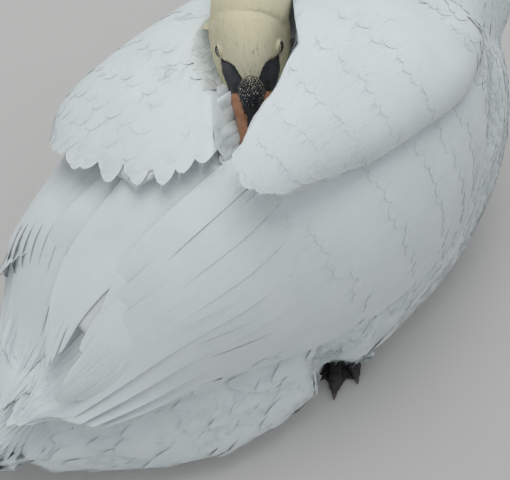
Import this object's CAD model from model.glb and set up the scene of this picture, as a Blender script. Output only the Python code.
import math

import bmesh
import bpy
import numpy as np
from mathutils import Matrix, Vector
from mathutils.bvhtree import BVHTree


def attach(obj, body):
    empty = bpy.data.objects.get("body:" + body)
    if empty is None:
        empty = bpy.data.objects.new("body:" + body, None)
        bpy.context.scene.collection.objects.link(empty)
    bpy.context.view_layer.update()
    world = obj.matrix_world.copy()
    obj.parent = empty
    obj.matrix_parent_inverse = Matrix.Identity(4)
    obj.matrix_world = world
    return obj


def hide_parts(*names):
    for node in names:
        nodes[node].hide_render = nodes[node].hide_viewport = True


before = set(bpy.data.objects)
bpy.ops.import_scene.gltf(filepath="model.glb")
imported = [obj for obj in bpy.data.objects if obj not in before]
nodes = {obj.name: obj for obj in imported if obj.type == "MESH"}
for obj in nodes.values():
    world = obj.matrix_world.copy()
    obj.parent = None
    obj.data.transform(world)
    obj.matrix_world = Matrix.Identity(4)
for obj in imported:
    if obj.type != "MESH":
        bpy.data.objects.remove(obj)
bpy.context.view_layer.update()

scene = bpy.context.scene
SEED = 20
rng = np.random.default_rng(SEED)
MM = 0.001
FLOOR_GAP = 0.0003  # no feather comes nearer the floor than this
SKIN_LOW = 0.0012  # and the skin not nearer than this

# ---- The model's own shapes, in millimetres, as the solids have them -------------------------
# Folded tracts: y, inner edge x and z, outer edge x and z.
WING_RIGHT = [
    (-306, 22, 262, 64, 236), (-266, 14, 286, 118, 186), (-200, 8, 302, 160, 142),
    (-110, 4, 306, 184, 122), (-10, 2, 292, 176, 118), (92, 2, 256, 142, 116),
    (172, -2, 210, 102, 118), (222, 8, 176, 72, 120), (258, 26, 150, 46, 122),
]
WING_LEFT = [
    (-306, 22, 262, 64, 236), (-266, 14, 286, 118, 186), (-200, 8, 300, 160, 142),
    (-110, 6, 296, 186, 122), (-10, 6, 276, 186, 118), (80, 8, 248, 174, 116),
    (150, 16, 214, 148, 118), (196, 30, 188, 124, 122), (232, 58, 166, 100, 132),
]
SCAPULARS_RIGHT = [
    (-262, 20, 296, 92, 262), (-190, 4, 320, 122, 272), (-110, -4, 332, 124, 280),
    (-40, 10, 330, 114, 280), (14, 36, 320, 99, 282), (52, 56, 306, 82, 288),
]
SCAPULARS_LEFT = [
    (-262, 26, 292, 86, 258), (-190, 40, 308, 132, 240), (-110, 56, 308, 170, 212),
    (-30, 44, 302, 186, 196), (34, 14, 292, 190, 190), (76, 6, 278, 178, 196),
    (104, 12, 264, 134, 214), (116, 36, 252, 84, 230),
]
SCAPULARS_LEFT_VANES = SCAPULARS_LEFT[:6] + [(104, 8, 265, 150, 209), (124, 10, 256, 132, 212)]
SCAPULARS_RIGHT_VANES = SCAPULARS_RIGHT[:4] + [(14, 34, 320, 104, 279), (54, 46, 307, 100, 272)]
BETWEEN = [  # the back between the folded wings
    (-80, -36, 296, 52, 290), (-10, -36, 285, 52, 275), (80, -34, 251, 54, 247), (150, -32, 213, 56, 213.5),
    (196, -28, 183, 62, 187), (236, -20, 154, 72, 164),
]
PRIMARIES_RIGHT = [
    (120, 30, 176, 108, 114), (200, 8, 150, 82, 112), (262, 4, 126, 42, 110), (304, 14, 116, 24, 112),
]
PRIMARIES_LEFT = [
    (120, 20, 186, 122, 106), (190, 4, 156, 104, 106), (250, -2, 126, 58, 106), (300, -6, 110, 6, 104),
]
NECK_ROUTE = [
    (4, -266, 196), (6, -302, 230), (24, -328, 276), (60, -330, 318), (94, -300, 340),
    (112, -246, 349), (108, -184, 351), (86, -122, 342), (52, -74, 318),
]
HEAD_PLACE = (36.5, -61, 308)
HEAD_TURN = (6, 32, 140)  # roll, pitch and yaw in degrees
EYE_RADIUS = 7
EYE_PLACE = (2, 23.6, 5)
EYE_FORWARD = 0.36  # how far the eyes look forward, and up, of straight sideways
EYE_UP = 0.46
TAIL = {"root": 236, "tip": 374, "root_z": 100, "tip_z": 58, "lean": 16, "half": 60}
ANKLE = (112, -58, 14)
HOCK = (74, 70, 14)
TOES = [(62, 103, 8.5), (49, 115, 9.5), (34, 98, 9)]  # angle, length, radius

FLESH = [
    "trunk", "neck_lower", "neck_middle", "neck_upper", "head",
    "wing_right", "wing_left", "scapulars_right", "scapulars_left",
]
NECK = ("neck_lower", "neck_middle", "neck_upper")
# Where, in y, the skin leaves off under the free rear ends, which only feathers make up.
ENDS_AT = {"wing_right": 205, "wing_left": 185, "scapulars_left": 100, "scapulars_right": 28}
SIDES = {1: "left", -1: "right"}
FLESH_ASIDE = 7.0  # how much further off the head the flesh of right wing and scapulars stays, in mm

head_matrix = (
    Matrix.Translation(Vector(HEAD_PLACE) * MM)
    @ Matrix.Rotation(math.radians(HEAD_TURN[2]), 4, "Z")
    @ Matrix.Rotation(math.radians(HEAD_TURN[1]), 4, "Y")
    @ Matrix.Rotation(math.radians(HEAD_TURN[0]), 4, "X")
)
HEAD_ROT = np.array(head_matrix)[:3, :3]
HEAD_AT = np.array(HEAD_PLACE) * MM


def to_head(points):
    """World points in the head's frame, in millimetres: x to the bill's tip, y left, z up."""
    return (points - HEAD_AT) @ HEAD_ROT / MM


def from_head(points):
    return np.asarray(points, float) * MM @ HEAD_ROT.T + HEAD_AT


def smooth(a, b, x):
    t = np.clip((x - a) / (b - a), 0, 1)
    return t * t * (3 - 2 * t)


def unit(v):
    return v / np.maximum(np.linalg.norm(v, axis=-1, keepdims=True), 1e-12)


# The right scapulars' edge beside the head, in the head's frame: along x, where the solid's edge lies,
# and how much further from the bill the feathers' own edge is, which bares the lore and the knob.
EDGE_AT = ([-30, -3, 26.7, 45, 60], [65, 36, 14, 5, -0.6])
EDGE_BACK = ([-34, -5, 14, 27, 38, 47, 56, 66], [0, 8, 10, 12, 11, 7, 3.5, 0])
EDGE_FADES = 60  # how far from the edge nothing moves any more


def aside(points, more=0.0):
    """Draws the right scapulars' edge back from the head, and the flesh under it a little more."""
    p = to_head(points)
    share = np.clip(1 - (p[..., 1] - np.interp(p[..., 0], *EDGE_AT)) / EDGE_FADES, 0, 1)
    back = np.interp(p[..., 0], *EDGE_BACK) + more * smooth(-45, -25, p[..., 0]) * smooth(75, 60, p[..., 0])
    p[..., 1] += back * share ** 2
    return from_head(p)


# The outline of the right scapulars' feathers beside the head, seen from above it: x and y in its frame.
OUTLINE = ([-60, -40, -19, 6, 16, 23, 31, 40, 50, 60, 70, 80, 88, 102, 104],
           [42, 42, 42.7, 45, 38.6, 34.8, 31, 27.2, 22.5, 15, 8.3, 1.7, -3.1, -9, -60])


def lobe_outline(points):
    """Keeps the right scapulars' feathers off the head, along one clean edge."""
    p = to_head(aside(points))
    p[..., 1] = np.maximum(p[..., 1], np.interp(p[..., 0], *OUTLINE))
    return from_head(p)


# The folds of the flanks out of which the feet come: the middle of each, its reach in x, y and z,
# and its depth.
FOOT_FOLD = ((178, 18, 62), (60, 36, 58), 27)


def foot_folds(points):
    """Draws the flanks in over the feet."""
    middle, reach, deep = (np.array(v, float) * MM for v in FOOT_FOLD)
    off = (np.abs(points) * [1, 0, 0] + points * [0, 1, 1] - middle) / reach
    inward = deep * np.clip(1 - (off ** 2).sum(-1), 0, 1) ** 1.5
    points = points.copy()
    points[..., 0] -= np.sign(points[..., 0]) * inward
    return points


def eye_axes(side):
    """Where an eye looks, and the forward and upward directions across it."""
    look = unit(np.array([EYE_FORWARD, side, EYE_UP]))
    along = np.array([1.0, 0, -0.14])
    ahead = unit(along - look * (along @ look))
    above = np.cross(look, ahead) * (-side)
    return look, ahead, above


def eye_centre(side):
    return np.array([EYE_PLACE[0], side * EYE_PLACE[1], EYE_PLACE[2]])


def through(rows, t):
    """A smooth curve through the rows of a table at shares t of its length."""
    rows = np.asarray(rows, float)
    n = len(rows)
    at = np.clip(np.asarray(t, float), 0, 1) * (n - 1)
    i = np.minimum(at.astype(int), n - 2)
    f = (at - i)[..., None]
    a, b, c, d = (rows[np.clip(i + k, 0, n - 1)] for k in (-1, 0, 1, 2))
    return b + 0.5 * f * (c - a + f * (2 * a - 5 * b + 4 * c - d + f * (3 * (b - c) + d - a)))


def round_grid(rows, around):
    """Shares along and angles round, over a grid of rings."""
    t = np.linspace(0, 1, rows)[:, None] * np.ones(around)
    angle = np.linspace(0, 2 * np.pi, around, endpoint=False)[None] * np.ones((rows, 1))
    return t, angle


def ball_angles(rows, around):
    """Angles off the axis of a ball, without its two ends, and round it."""
    off_axis = np.linspace(0, np.pi, rows + 2)[1:-1, None]
    return off_axis, np.linspace(0, 2 * np.pi, around, endpoint=False)[None]


def power(value, exponent):
    return np.sign(value) * np.abs(value) ** exponent


# ---- Meshes ----------------------------------------------------------------------------------
def read(collection, key, width=1, kind=np.float32):
    """One property of all of a mesh's vertices, edges or corners."""
    values = np.empty(len(collection) * width, kind)
    collection.foreach_get(key, values)
    return values.reshape(-1, width) if width > 1 else values


def put_places(me, co):
    me.vertices.foreach_set("co", co.astype(np.float32).ravel())
    me.update()


def put_values(me, floats, uvs):
    """Adds numbers and UV maps, each given per vertex."""
    for key, values in floats.items():
        me.attributes.new(key, "FLOAT", "POINT").data.foreach_set("value", np.asarray(values, np.float32))
    index = read(me.loops, "vertex_index", kind=np.int32)
    for key, values in uvs.items():
        me.uv_layers.new(name=key).data.foreach_set("uv", np.asarray(values, np.float32)[index].ravel())


def make_mesh(name, verts, faces, floats=None, uvs=None, normals=None):
    """An object from arrays. Faces is a list of arrays of one width each; the rest is per vertex.
    Normals: how far to blend to these, and the normals."""
    me = bpy.data.meshes.new(name)
    verts = np.ascontiguousarray(verts, np.float32).reshape(-1, 3)
    me.vertices.add(len(verts))
    me.vertices.foreach_set("co", verts.ravel())
    faces = [np.asarray(f, np.int32) for f in faces if len(f)]
    loops = np.concatenate([f.ravel() for f in faces])
    sizes = np.concatenate([np.full(len(f), f.shape[1], np.int32) for f in faces])
    me.loops.add(len(loops))
    me.loops.foreach_set("vertex_index", loops)
    me.polygons.add(len(sizes))
    starts = np.concatenate([[0], np.cumsum(sizes)[:-1]]).astype(np.int32)
    me.polygons.foreach_set("loop_start", starts)
    me.polygons.foreach_set("use_smooth", np.ones(len(sizes), bool))
    me.update(calc_edges=True)
    me.validate()
    put_values(me, floats or {}, uvs or {})
    if normals is not None:
        own = read(me.vertex_normals, "vector", 3)
        share, sheet = normals
        mixed = unit(own * (1 - share) + sheet * share)
        mixed = np.where((mixed * own).sum(-1, keepdims=True) > 0.25, mixed, own)
        me.normals_split_custom_set_from_vertices(mixed.astype(np.float32))
    ob = bpy.data.objects.new(name, me)
    scene.collection.objects.link(ob)
    return ob


def finish_piece(ob, slot, material, *replaced):
    ob.data.materials.clear()
    ob.data.materials.append(material)
    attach(ob, "root")
    if replaced:
        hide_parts(*replaced)
    return ob


def grid_faces(rows, columns, closed=False):
    """Quads of a grid of rows by columns of points; closed joins its last column to its first."""
    i, j = np.meshgrid(np.arange(rows - 1), np.arange(columns if closed else columns - 1), indexing="ij")
    k = (j + 1) % columns
    quads = np.stack([i * columns + j, i * columns + k, (i + 1) * columns + k, (i + 1) * columns + j], -1)
    return quads.reshape(-1, 4)


def by_width(faces):
    """The same faces as one array of quads and one of triangles, so far as there are any."""
    groups = [[f for f in faces if f.shape[1] == width] for width in (4, 3)]
    return [np.concatenate(g) for g in groups if g]


def tube_faces(rows, around):
    """The walls and the two ends of a tube of rings, whose end points come last of its points."""
    k = np.arange(around)
    after = (k + 1) % around
    first = np.stack([after, k, np.full(around, rows * around)], -1)
    top = (rows - 1) * around
    last = np.stack([top + k, top + after, np.full(around, rows * around + 1)], -1)
    return [grid_faces(rows, around, closed=True), np.concatenate([first, last])]


def face_turns(verts, faces):
    """A normal of each face, as long as twice its first triangle's area."""
    a, b, c = (verts[faces[:, i]] for i in (0, 1, 2))
    return np.cross(b - a, c - a)


def facing_out(verts, faces, middle=None):
    """Turns a form's faces so that they face away from its middle."""
    middle = verts.mean(0) if middle is None else middle
    inward = (face_turns(verts, faces[0]) * (verts[faces[0][:, 0]] - middle)).sum() < 0
    return [f[:, ::-1] for f in faces] if inward else faces


def face_areas_of(quads):
    return 0.5 * np.linalg.norm(np.cross(quads[:, 2] - quads[:, 0], quads[:, 3] - quads[:, 1]), axis=1)


def neighbour_average(values, edges, count):
    total = np.zeros_like(values)
    for a, b in ((0, 1), (1, 0)):
        for k in range(values.shape[1]):
            total[:, k] += np.bincount(edges[:, a], values[edges[:, b], k], len(values))
    return total / count[:, None]


def neighbours(edges, points):
    """How many neighbours each point has."""
    return np.maximum(np.bincount(edges.ravel(), minlength=len(points)), 1).astype(float)


def mesh_arrays(me):
    return read(me.vertices, "co", 3).astype(float), read(me.edges, "vertices", 2, np.int32)


def fair(me, rounds):
    """Smooths facets away without shrinking the form."""
    co, edges = mesh_arrays(me)
    count = neighbours(edges, co)
    for _ in range(rounds):
        for step in (0.5, -0.517):  # in, then out a little more
            co += step * (neighbour_average(co, edges, count) - co)
    put_places(me, co)


def united(names, voxel, rounds):
    """One closed surface round these nodes, without the thin rear ends that only vanes cover."""
    joined = bmesh.new()
    for name in names:
        bm = bmesh.new()
        bm.from_mesh(nodes[name].data)
        bmesh.ops.remove_doubles(bm, verts=bm.verts, dist=1e-5)
        if name in ENDS_AT:
            cut = bmesh.ops.bisect_plane(
                bm, geom=bm.verts[:] + bm.edges[:] + bm.faces[:], dist=1e-6,
                plane_co=(0, ENDS_AT[name] * MM, 0), plane_no=(0, 1, 0), clear_outer=True)
            rim = [e for e in cut["geom_cut"] if isinstance(e, bmesh.types.BMEdge)]
            bmesh.ops.holes_fill(bm, edges=rim, sides=0)
            bmesh.ops.triangulate(bm, faces=[f for f in bm.faces if len(f.verts) > 4])
        if name in ("scapulars_right", "wing_right"):
            for vert in bm.verts:
                vert.co = aside(np.array(vert.co), FLESH_ASIDE)
        part = bpy.data.meshes.new("part")
        bm.to_mesh(part)
        bm.free()
        joined.from_mesh(part)
        bpy.data.meshes.remove(part)
    me = bpy.data.meshes.new("union")
    joined.to_mesh(me)
    joined.free()
    ob = bpy.data.objects.new("union", me)
    scene.collection.objects.link(ob)
    remesh = ob.modifiers.new("remesh", "REMESH")
    remesh.mode = "VOXEL"
    remesh.voxel_size = voxel * MM
    remesh.use_smooth_shade = True
    made = bpy.data.meshes.new_from_object(ob.evaluated_get(bpy.context.evaluated_depsgraph_get()))
    bpy.data.objects.remove(ob)
    fair(made, rounds)
    put_places(made, foot_folds(mesh_arrays(made)[0]))
    return made


# ---- Where a point is on the bird --------------------------------------------------------------
def neck_line():
    """Points along the neck, evenly spaced, with their tangents, from the trunk to the head."""
    route = np.array(NECK_ROUTE, float) * MM
    ends = np.vstack([2 * route[0] - route[1], route, 2 * route[-1] - route[-2]])
    last = len(ends) - 1
    points = through(ends, np.linspace(1, last - 1, 30 * (last - 2) + 1) / last)
    return points, unit(np.gradient(points, axis=0))


neck_points, neck_tangents = neck_line()
neck_sides = []
_side = np.array([1.0, 0.0, 0.0])
for _t in neck_tangents:
    _side = unit(_side - _t * (_side @ _t))
    neck_sides.append(_side)
neck_sides = np.array(neck_sides)


def on_neck(points):
    """The nearest station of the neck, as an index into its line."""
    best = np.zeros(len(points), int)
    for start in range(0, len(points), 4000):
        block = points[start:start + 4000]
        gaps = ((block[:, None, :] - neck_points[None]) ** 2).sum(-1)
        best[start:start + 4000] = gaps.argmin(1)
    return best


TRUNK, NECK_PART, HEAD_PART, WING, SCAPULAR = range(5)
PATCH = (0.0012, 0.0024)  # half the width and the length of a feather's patch in OFBake
# Where a part's chart is in OFBake: from u, its width, from v, its height. The rest shares the trunk's.
CHARTS = {TRUNK: (0.03, 0.52, 0.03, 0.94), NECK_PART: (0.58, 0.18, 0.03, 0.94),
          HEAD_PART: (0.79, 0.18, 0.03, 0.45)}


def bake_place(points, kind):
    """Each point's place on an unwrap of the skin, round and along each part."""
    def turn(up, side):
        return np.arctan2(up, side) / (2 * np.pi) + 0.5

    def place(chart, around, along):
        u, width, v, height = CHARTS[chart]
        return np.stack([u + width * around, v + height * along], -1)

    x, y, z = points.T
    out = place(TRUNK, (turn(z - 0.11, x) + 0.25) % 1.0, np.clip((y + 0.38) / 0.79, 0, 1))
    on = kind == NECK_PART
    if on.any():
        i = on_neck(points[on])
        off = points[on] - neck_points[i]
        other = np.cross(neck_tangents[i], neck_sides[i])
        around = turn((off * other).sum(-1), (off * neck_sides[i]).sum(-1))
        out[on] = place(NECK_PART, around, i / len(neck_points))
    on = kind == HEAD_PART
    if on.any():
        p = to_head(points[on])
        around = (turn(p[:, 2] + 5, p[:, 1]) + 0.25) % 1.0
        out[on] = place(HEAD_PART, around, np.clip((p[:, 0] + 60) / 110, 0, 1))
    return out


def cream_share(points):
    """How cream the plumage is: full on the crown and nape, gone half way down the neck."""
    p = to_head(points)
    on_head = smooth(95, 60, np.linalg.norm(p - [-6, 0, 0], axis=1))
    forehead = smooth(6, 34, p[:, 0]) * smooth(30, 14, np.abs(p[:, 1]))
    i = on_neck(points)
    near = np.linalg.norm(points - neck_points[i], axis=1) < 0.07
    up = smooth(0.52, 0.93, i / len(neck_points)) * near
    return np.clip(np.maximum(on_head * (1 - 0.75 * forehead), up * 0.9), 0, 1)


# ---- Sheets that feathers are laid on ------------------------------------------------------------
class Sheet:
    """A surface with normals and a lie of the coat, that points can be settled on."""

    def __init__(self, verts, faces, normals, lie):
        self.verts, self.normals, self.lie = (a.reshape(-1, 3) for a in (verts, normals, lie))
        self.faces = faces
        self.tree = BVHTree.FromPolygons(self.verts.tolist(), faces.tolist())

    def settle(self, points):
        """Nearest places on the sheet, with their normal and lie."""
        flat = points.reshape(-1, 3)
        places = np.empty_like(flat)
        hits = np.empty(len(flat), int)
        find = self.tree.find_nearest
        for i, p in enumerate(flat.tolist()):
            at, _, face, _ = find(p)
            places[i] = at
            hits[i] = face
        corners = self.faces[hits]
        weights = 1 / (np.linalg.norm(self.verts[corners] - places[:, None], axis=-1) + 2e-4) ** 1.5
        weights = (weights / weights.sum(1, keepdims=True))[..., None]
        normal = unit((self.normals[corners] * weights).sum(1))
        lie = (self.lie[corners] * weights).sum(1)
        lie = unit(lie - normal * (lie * normal).sum(-1, keepdims=True))
        shape = points.shape
        return places.reshape(shape), normal.reshape(shape), lie.reshape(shape)


def tract_face(rows, side, u, v):
    y, xa, za, xb, zb = np.moveaxis(through(rows, u), -1, 0)
    angle = v * np.pi / 2
    x = xa + (xb - xa) * np.sin(angle) ** 0.9
    return np.stack([side * x, y, zb + (za - zb) * np.cos(angle) ** 0.9], -1) * MM


def tract_point(rows, side, u, v):
    """A tract's outer face, carried straight on beyond its edges."""
    uc, vc = np.clip(u, 0.004, 0.996), np.clip(v, 0.03, 0.97)
    h = 0.004
    du = (tract_face(rows, side, uc + h, vc) - tract_face(rows, side, uc - h, vc)) / (2 * h)
    dv = (tract_face(rows, side, uc, vc + h) - tract_face(rows, side, uc, vc - h)) / (2 * h)
    face = tract_face(rows, side, uc, vc)
    return face + du * (u - uc)[..., None] + dv * (v - vc)[..., None]


class Tract(Sheet):
    """A folded tract of wing, back or scapulars as a sheet: u runs back along it, v outward and down."""

    U_RANGE = (-0.06, 1.12)
    GRID = (90, 46)

    def __init__(self, rows, side, v_range=(-0.12, 1.1)):
        self.rows, self.side = rows, side
        nu, nv = self.GRID
        u, v = np.meshgrid(np.linspace(*self.U_RANGE, nu), np.linspace(*v_range, nv), indexing="ij")
        verts = tract_point(rows, side, u, v)
        du, dv = np.gradient(verts, axis=(0, 1))
        normals = unit(np.cross(du, dv))
        centre = verts * [0, 1, 0] + [0, 0, 0.06]
        normals *= np.sign(((verts - centre) * normals).sum(-1, keepdims=True))
        super().__init__(verts, grid_faces(nu, nv), normals, unit(du))

    def at(self, u, v):
        return tract_point(self.rows, self.side, np.asarray(u, float), np.asarray(v, float))


# ---- Feathers --------------------------------------------------------------------------------
def turn_about(v, axis, angle):
    c, s = np.cos(angle)[..., None], np.sin(angle)[..., None]
    return v * c + np.cross(axis, v) * s + axis * (v * axis).sum(-1, keepdims=True) * (1 - c)


def grow_spines(sheet, roots, length, steps, swing):
    """Lines from the roots that follow the lie of the coat over the sheet, swung off it by an angle."""
    place, normal, lie = sheet.settle(roots)
    heading = turn_about(lie, normal, swing)
    step = (length / steps)[:, None]
    spine, normals, headings = [place], [normal], [heading]
    for _ in range(steps):
        at, n, lie = sheet.settle(place + heading * step)
        wish = turn_about(lie, n, swing)
        heading = unit(0.6 * heading + 0.4 * wish)
        heading = unit(heading - n * (heading * n).sum(-1, keepdims=True))
        place, normal = at, n
        spine.append(place)
        normals.append(normal)
        headings.append(heading)
    return np.stack(spine, 1), np.stack(normals, 1), np.stack(headings, 1)


# Half width along the vane, and how far its tip is rounded back: by half width for the first two kinds,
# by length for the others.
PROFILES = {
    "contour": (lambda s: 0.12 + 0.88 * np.sin(np.pi * np.clip(s * 0.78, 0, 1)) ** 0.8, 1.25),
    "covert": (lambda s: 0.2 + 0.8 * np.sin(np.pi * np.clip(s * 0.72, 0, 1)) ** 0.6, 1.15),
    "flight": (lambda s: (0.25 + 0.75 * smooth(0, 0.25, s)) * (1 - 0.35 * smooth(0.7, 1, s)), 0.16),
    "long": (lambda s: (0.3 + 0.7 * smooth(0, 0.2, s)) * (1 - 0.6 * smooth(0.66, 1, s) ** 1.4), 0.10),
}
LEAST_FLAT = 0.82  # the least mean cosine between a feather's faces and the body under it
FAR_OFF = 0.007  # a feather's edge this far off the sheet isn't drawn on to it


def lies_flat(points, around):
    """Which vanes lie along the body over nearly all their area, and don't fold over an edge of it."""
    turn = np.cross(points[:, 1:, :-1] - points[:, :-1, :-1], points[:, :-1, 1:] - points[:, :-1, :-1])
    facing = (turn * around[:, :-1, :-1]).sum(-1).sum((1, 2))
    return facing / np.linalg.norm(turn, axis=-1).sum((1, 2)) > LEAST_FLAT


class Coat:
    """Gathers feathers as arrays, and makes them one mesh."""

    def __init__(self, name):
        self.name = name
        self.parts = []
        self.total = 0
        self.triangles = 0

    def take(self, verts, faces, sheet_normals, tone, reach, across, bake, cream):
        verts[:, 2] = np.maximum(verts[:, 2], FLOOR_GAP)
        faces = [f + self.total for f in faces]
        self.parts.append((verts, faces, sheet_normals, tone, reach, across, bake, cream))
        self.total += len(verts)
        self.triangles += sum(len(f) * (f.shape[1] - 2) for f in faces)

    def vanes(self, sheet, spine, normals, headings, half, kind, across=5, depth=2.6, shallow=0.5,
              lift=0.1, camber=0.05, tilt=0.0, ragged=0.05, fringe=0, fringe_reach=0.22, part=TRUNK,
              rachis=0.0, settle=True, wave=0.0, double=False, room=None, shape=None, uneven=0.12):
        """Adds vanes along spines, with half the width given, and room, the most to either side, in metres.

        In mm: depth and shallow, how deep the root and the rest lie; lift, the tip's height; rachis, the
        shaft's; wave and uneven, how much the height varies along and between vanes. By half width: camber
        and tilt. By length: ragged, and fringe_reach. fringe is the number of barbs past the edge."""
        count, rows = spine.shape[:2]
        s = np.linspace(0, 1, rows)
        w = np.linspace(-1, 1, across)
        profile, rounded = PROFILES[kind]
        length = np.linalg.norm(np.diff(spine, axis=1), axis=-1).sum(1)
        lateral = np.cross(normals, headings)
        wide = half[:, None, None] * profile(s)[None, :, None] * np.ones(across)
        if room is not None:
            wide = np.minimum(wide, np.where(w < 0, room[..., :1], room[..., 1:]))
        wide = wide * w
        cut = half if kind in ("contour", "covert") else length
        back = (rounded * s ** 2)[None, :, None] * (np.abs(w) ** 2.2)[None, None, :] * cut[:, None, None]
        nicks = np.zeros((count, rows, across))
        nicks[:, -1, :] = rng.uniform(-1, 1, (count, across)) * ragged * length[:, None]
        base = (spine[:, :, None] + lateral[:, :, None] * wide[..., None]
                + headings[:, :, None] * (nicks - back)[..., None])
        around = np.broadcast_to(normals[:, :, None], base.shape)
        if settle:
            at, n, _ = sheet.settle(base)
            far = (np.linalg.norm(at - base, axis=-1) > FAR_OFF)[..., None]
            base = np.where(far, base, at)
            around = np.where(far, around, n)
        height = ((-shallow * (1 - s) - (depth - shallow) * (1 - s) ** 7 + lift * s ** 2) * MM)[None, :, None]
        height = height * np.ones_like(wide) + rng.uniform(-uneven, uneven, (count, 1, 1)) * MM
        height -= camber * half[:, None, None] * (w ** 4)[None, None] * (0.3 + 0.7 * s)[None, :, None]
        height += tilt * half[:, None, None] * w[None, None] * np.ones_like(s)[None, :, None]
        if wave:
            phase = rng.uniform(0, 6.28, (count, 1, 1)) + 5 * s[None, :, None]
            height += wave * MM * np.sin(phase + 2.2 * w[None, None]) * s[None, :, None]
        if rachis:
            height[:, :, across // 2] += rachis * MM * (1 - 0.6 * s)[None]
        points = base + around * height[..., None]
        if shape:
            points = shape(points)
        if settle and kind == "contour":
            flat = lies_flat(points, around)
            points, around, spine, length = points[flat], around[flat], spine[flat], length[flat]
            count = len(points)
        tone = rng.uniform(0, 1, count)
        bake_root = bake_place(spine[:, 0], np.full(count, part))
        cream = cream_share(spine[:, 0]) if part in (HEAD_PART, NECK_PART) else np.zeros(count)
        cells = (np.arange(count) * rows * across)[:, None, None]
        faces = (grid_faces(rows, across)[None, :, ::-1] + cells).reshape(-1, 4)

        def spread(x):
            return np.broadcast_to(x, points.shape[:3]).reshape(-1)

        s_all = spread(s[None, :, None])
        w_all = spread(w[None, None])
        bake = np.repeat(bake_root, rows * across, 0) + np.stack([w_all, s_all - 0.5], -1) * PATCH
        self.take(points.reshape(-1, 3), [faces], around.reshape(-1, 3), spread(tone[:, None, None]), s_all,
                  w_all, bake, spread(cream[:, None, None]))
        if double:
            under = points - around * (0.9 * MM)
            self.take(under.reshape(-1, 3), [faces[:, ::-1]], -around.reshape(-1, 3),
                      spread(tone[:, None, None]), s_all, w_all, bake, spread(cream[:, None, None]))
        if fringe:
            self.fringe(points, around, fringe, fringe_reach, tone, bake_root, cream)

    def fringe(self, points, around, strands, reach, tone, bake_root, cream):
        """Loose barbs that run out past the edge of each vane."""
        count, rows, across = points.shape[:3]

        def at(s, w, source):
            x = s * (rows - 1)
            i = np.clip(x.astype(int), 0, rows - 2)
            fx = (x - i)[..., None]
            y = (w + 1) / 2 * (across - 1)
            j = np.clip(y.astype(int), 0, across - 2)
            fy = (y - j)[..., None]
            k = np.arange(count)[:, None]
            a = source[k, i, j] * (1 - fy) + source[k, i, j + 1] * fy
            b = source[k, i + 1, j] * (1 - fy) + source[k, i + 1, j + 1] * fy
            return a * (1 - fx) + b * fx

        shape = (count, strands)
        w0 = np.linspace(-0.92, 0.92, strands)[None] + rng.uniform(-0.6, 0.6, shape) / strands
        s0 = 0.78 - 0.22 * np.abs(w0) + rng.uniform(-0.08, 0.08, shape)
        grow = reach * rng.uniform(0.5, 1.25, shape)
        s1, w1 = s0 + 0.22 + 0.5 * grow, w0 * (1 + 0.12 * grow / max(reach, 1e-6))
        s2, w2 = s0 + 0.22 + grow, w1 * 1.04 + rng.uniform(-0.07, 0.07, shape)
        thick = 0.75 / strands
        up = at(s0 * 0 + 0.9, w0 * 0, around)
        top = (rng.uniform(0.02, 0.16, shape) * MM)[..., None] * up
        quad = [at(s0, w0 - thick * 0.5, points) + top * 0.4, at(s0, w0 + thick * 0.5, points) + top * 0.4,
                at(s1, w1 - thick * 0.36, points) + top, at(s1, w1 + thick * 0.36, points) + top,
                at(s2, w2, points) + top * 0.6]
        verts = np.stack(quad, 2).reshape(-1, 3)
        start = (np.arange(count * strands) * 5)[:, None]
        quads = start + np.array([[2, 3, 1, 0]])
        tris = start + np.array([[4, 3, 2]])
        each = np.array([0.8, 0.8, 0.95, 0.95, 1.0])
        repeat = strands * 5
        bake = np.repeat(bake_root, repeat, 0) + [0.0, 0.0011]
        self.take(verts, [quads, tris], np.repeat(up.reshape(-1, 3), 5, 0), np.repeat(tone, repeat),
                  np.tile(each, count * strands), np.repeat(w0.reshape(-1), 5), bake,
                  np.repeat(cream, repeat))

    def locks(self, sheet, roots, length, half, depth, lift, swing):
        """Adds small closed locks of three sides, for the tiny feathers on the knob."""
        steps = 2
        spine, normals, headings = grow_spines(sheet, roots, length, steps, swing)
        count = len(roots)
        lateral = np.cross(normals, headings)
        s = np.linspace(0, 1, steps + 1)
        height = (-depth * (1 - s) ** 1.3 + lift * s) * MM
        height = height[None] + rng.uniform(-0.25, 0.25, (count, 1)) * MM
        ridge = spine + normals * height[..., None]
        wide = half[:, None] * (1 - 0.25 * s[None])
        low = 0.45 * half[:, None, None] * normals
        left = ridge - lateral * wide[..., None] - low
        right = ridge + lateral * wide[..., None] - low
        rings = np.stack([left, ridge, right], 2)[:, :steps]
        verts = np.concatenate([rings.reshape(count, -1, 3), (ridge[:, -1])[:, None]], 1)
        size = steps * 3 + 1
        cells = (np.arange(count) * size)[:, None]
        quads = []
        for k in range(steps - 1):
            for a, b in ((0, 1), (1, 2), (2, 0)):
                quads.append([3 * k + 3 + a, 3 * k + 3 + b, 3 * k + b, 3 * k + a])
        last = 3 * (steps - 1)
        tris = [[last + 1, last, size - 1], [last + 2, last + 1, size - 1], [last, last + 2, size - 1]]
        quads = (cells[:, None] + np.array(quads)[None]).reshape(-1, 4)
        tris = (cells[:, None] + np.array(tris)[None]).reshape(-1, 3)
        reach = np.concatenate([np.repeat(s[:steps], 3), [1.0]])
        sides = np.concatenate([np.tile([-1.0, 0.0, 1.0], steps), [0.0]])
        around = np.concatenate([np.repeat(normals[:, :steps], 3, 1), normals[:, -1:]], 1)
        bake_root = bake_place(spine[:, 0], np.full(count, HEAD_PART))
        bake = np.repeat(bake_root, size, 0) + np.stack(
            [np.tile(sides, count), np.tile(reach, count) - 0.5], -1) * PATCH
        cream = cream_share(spine[:, 0])
        tone = rng.uniform(0, 1, count)
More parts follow.
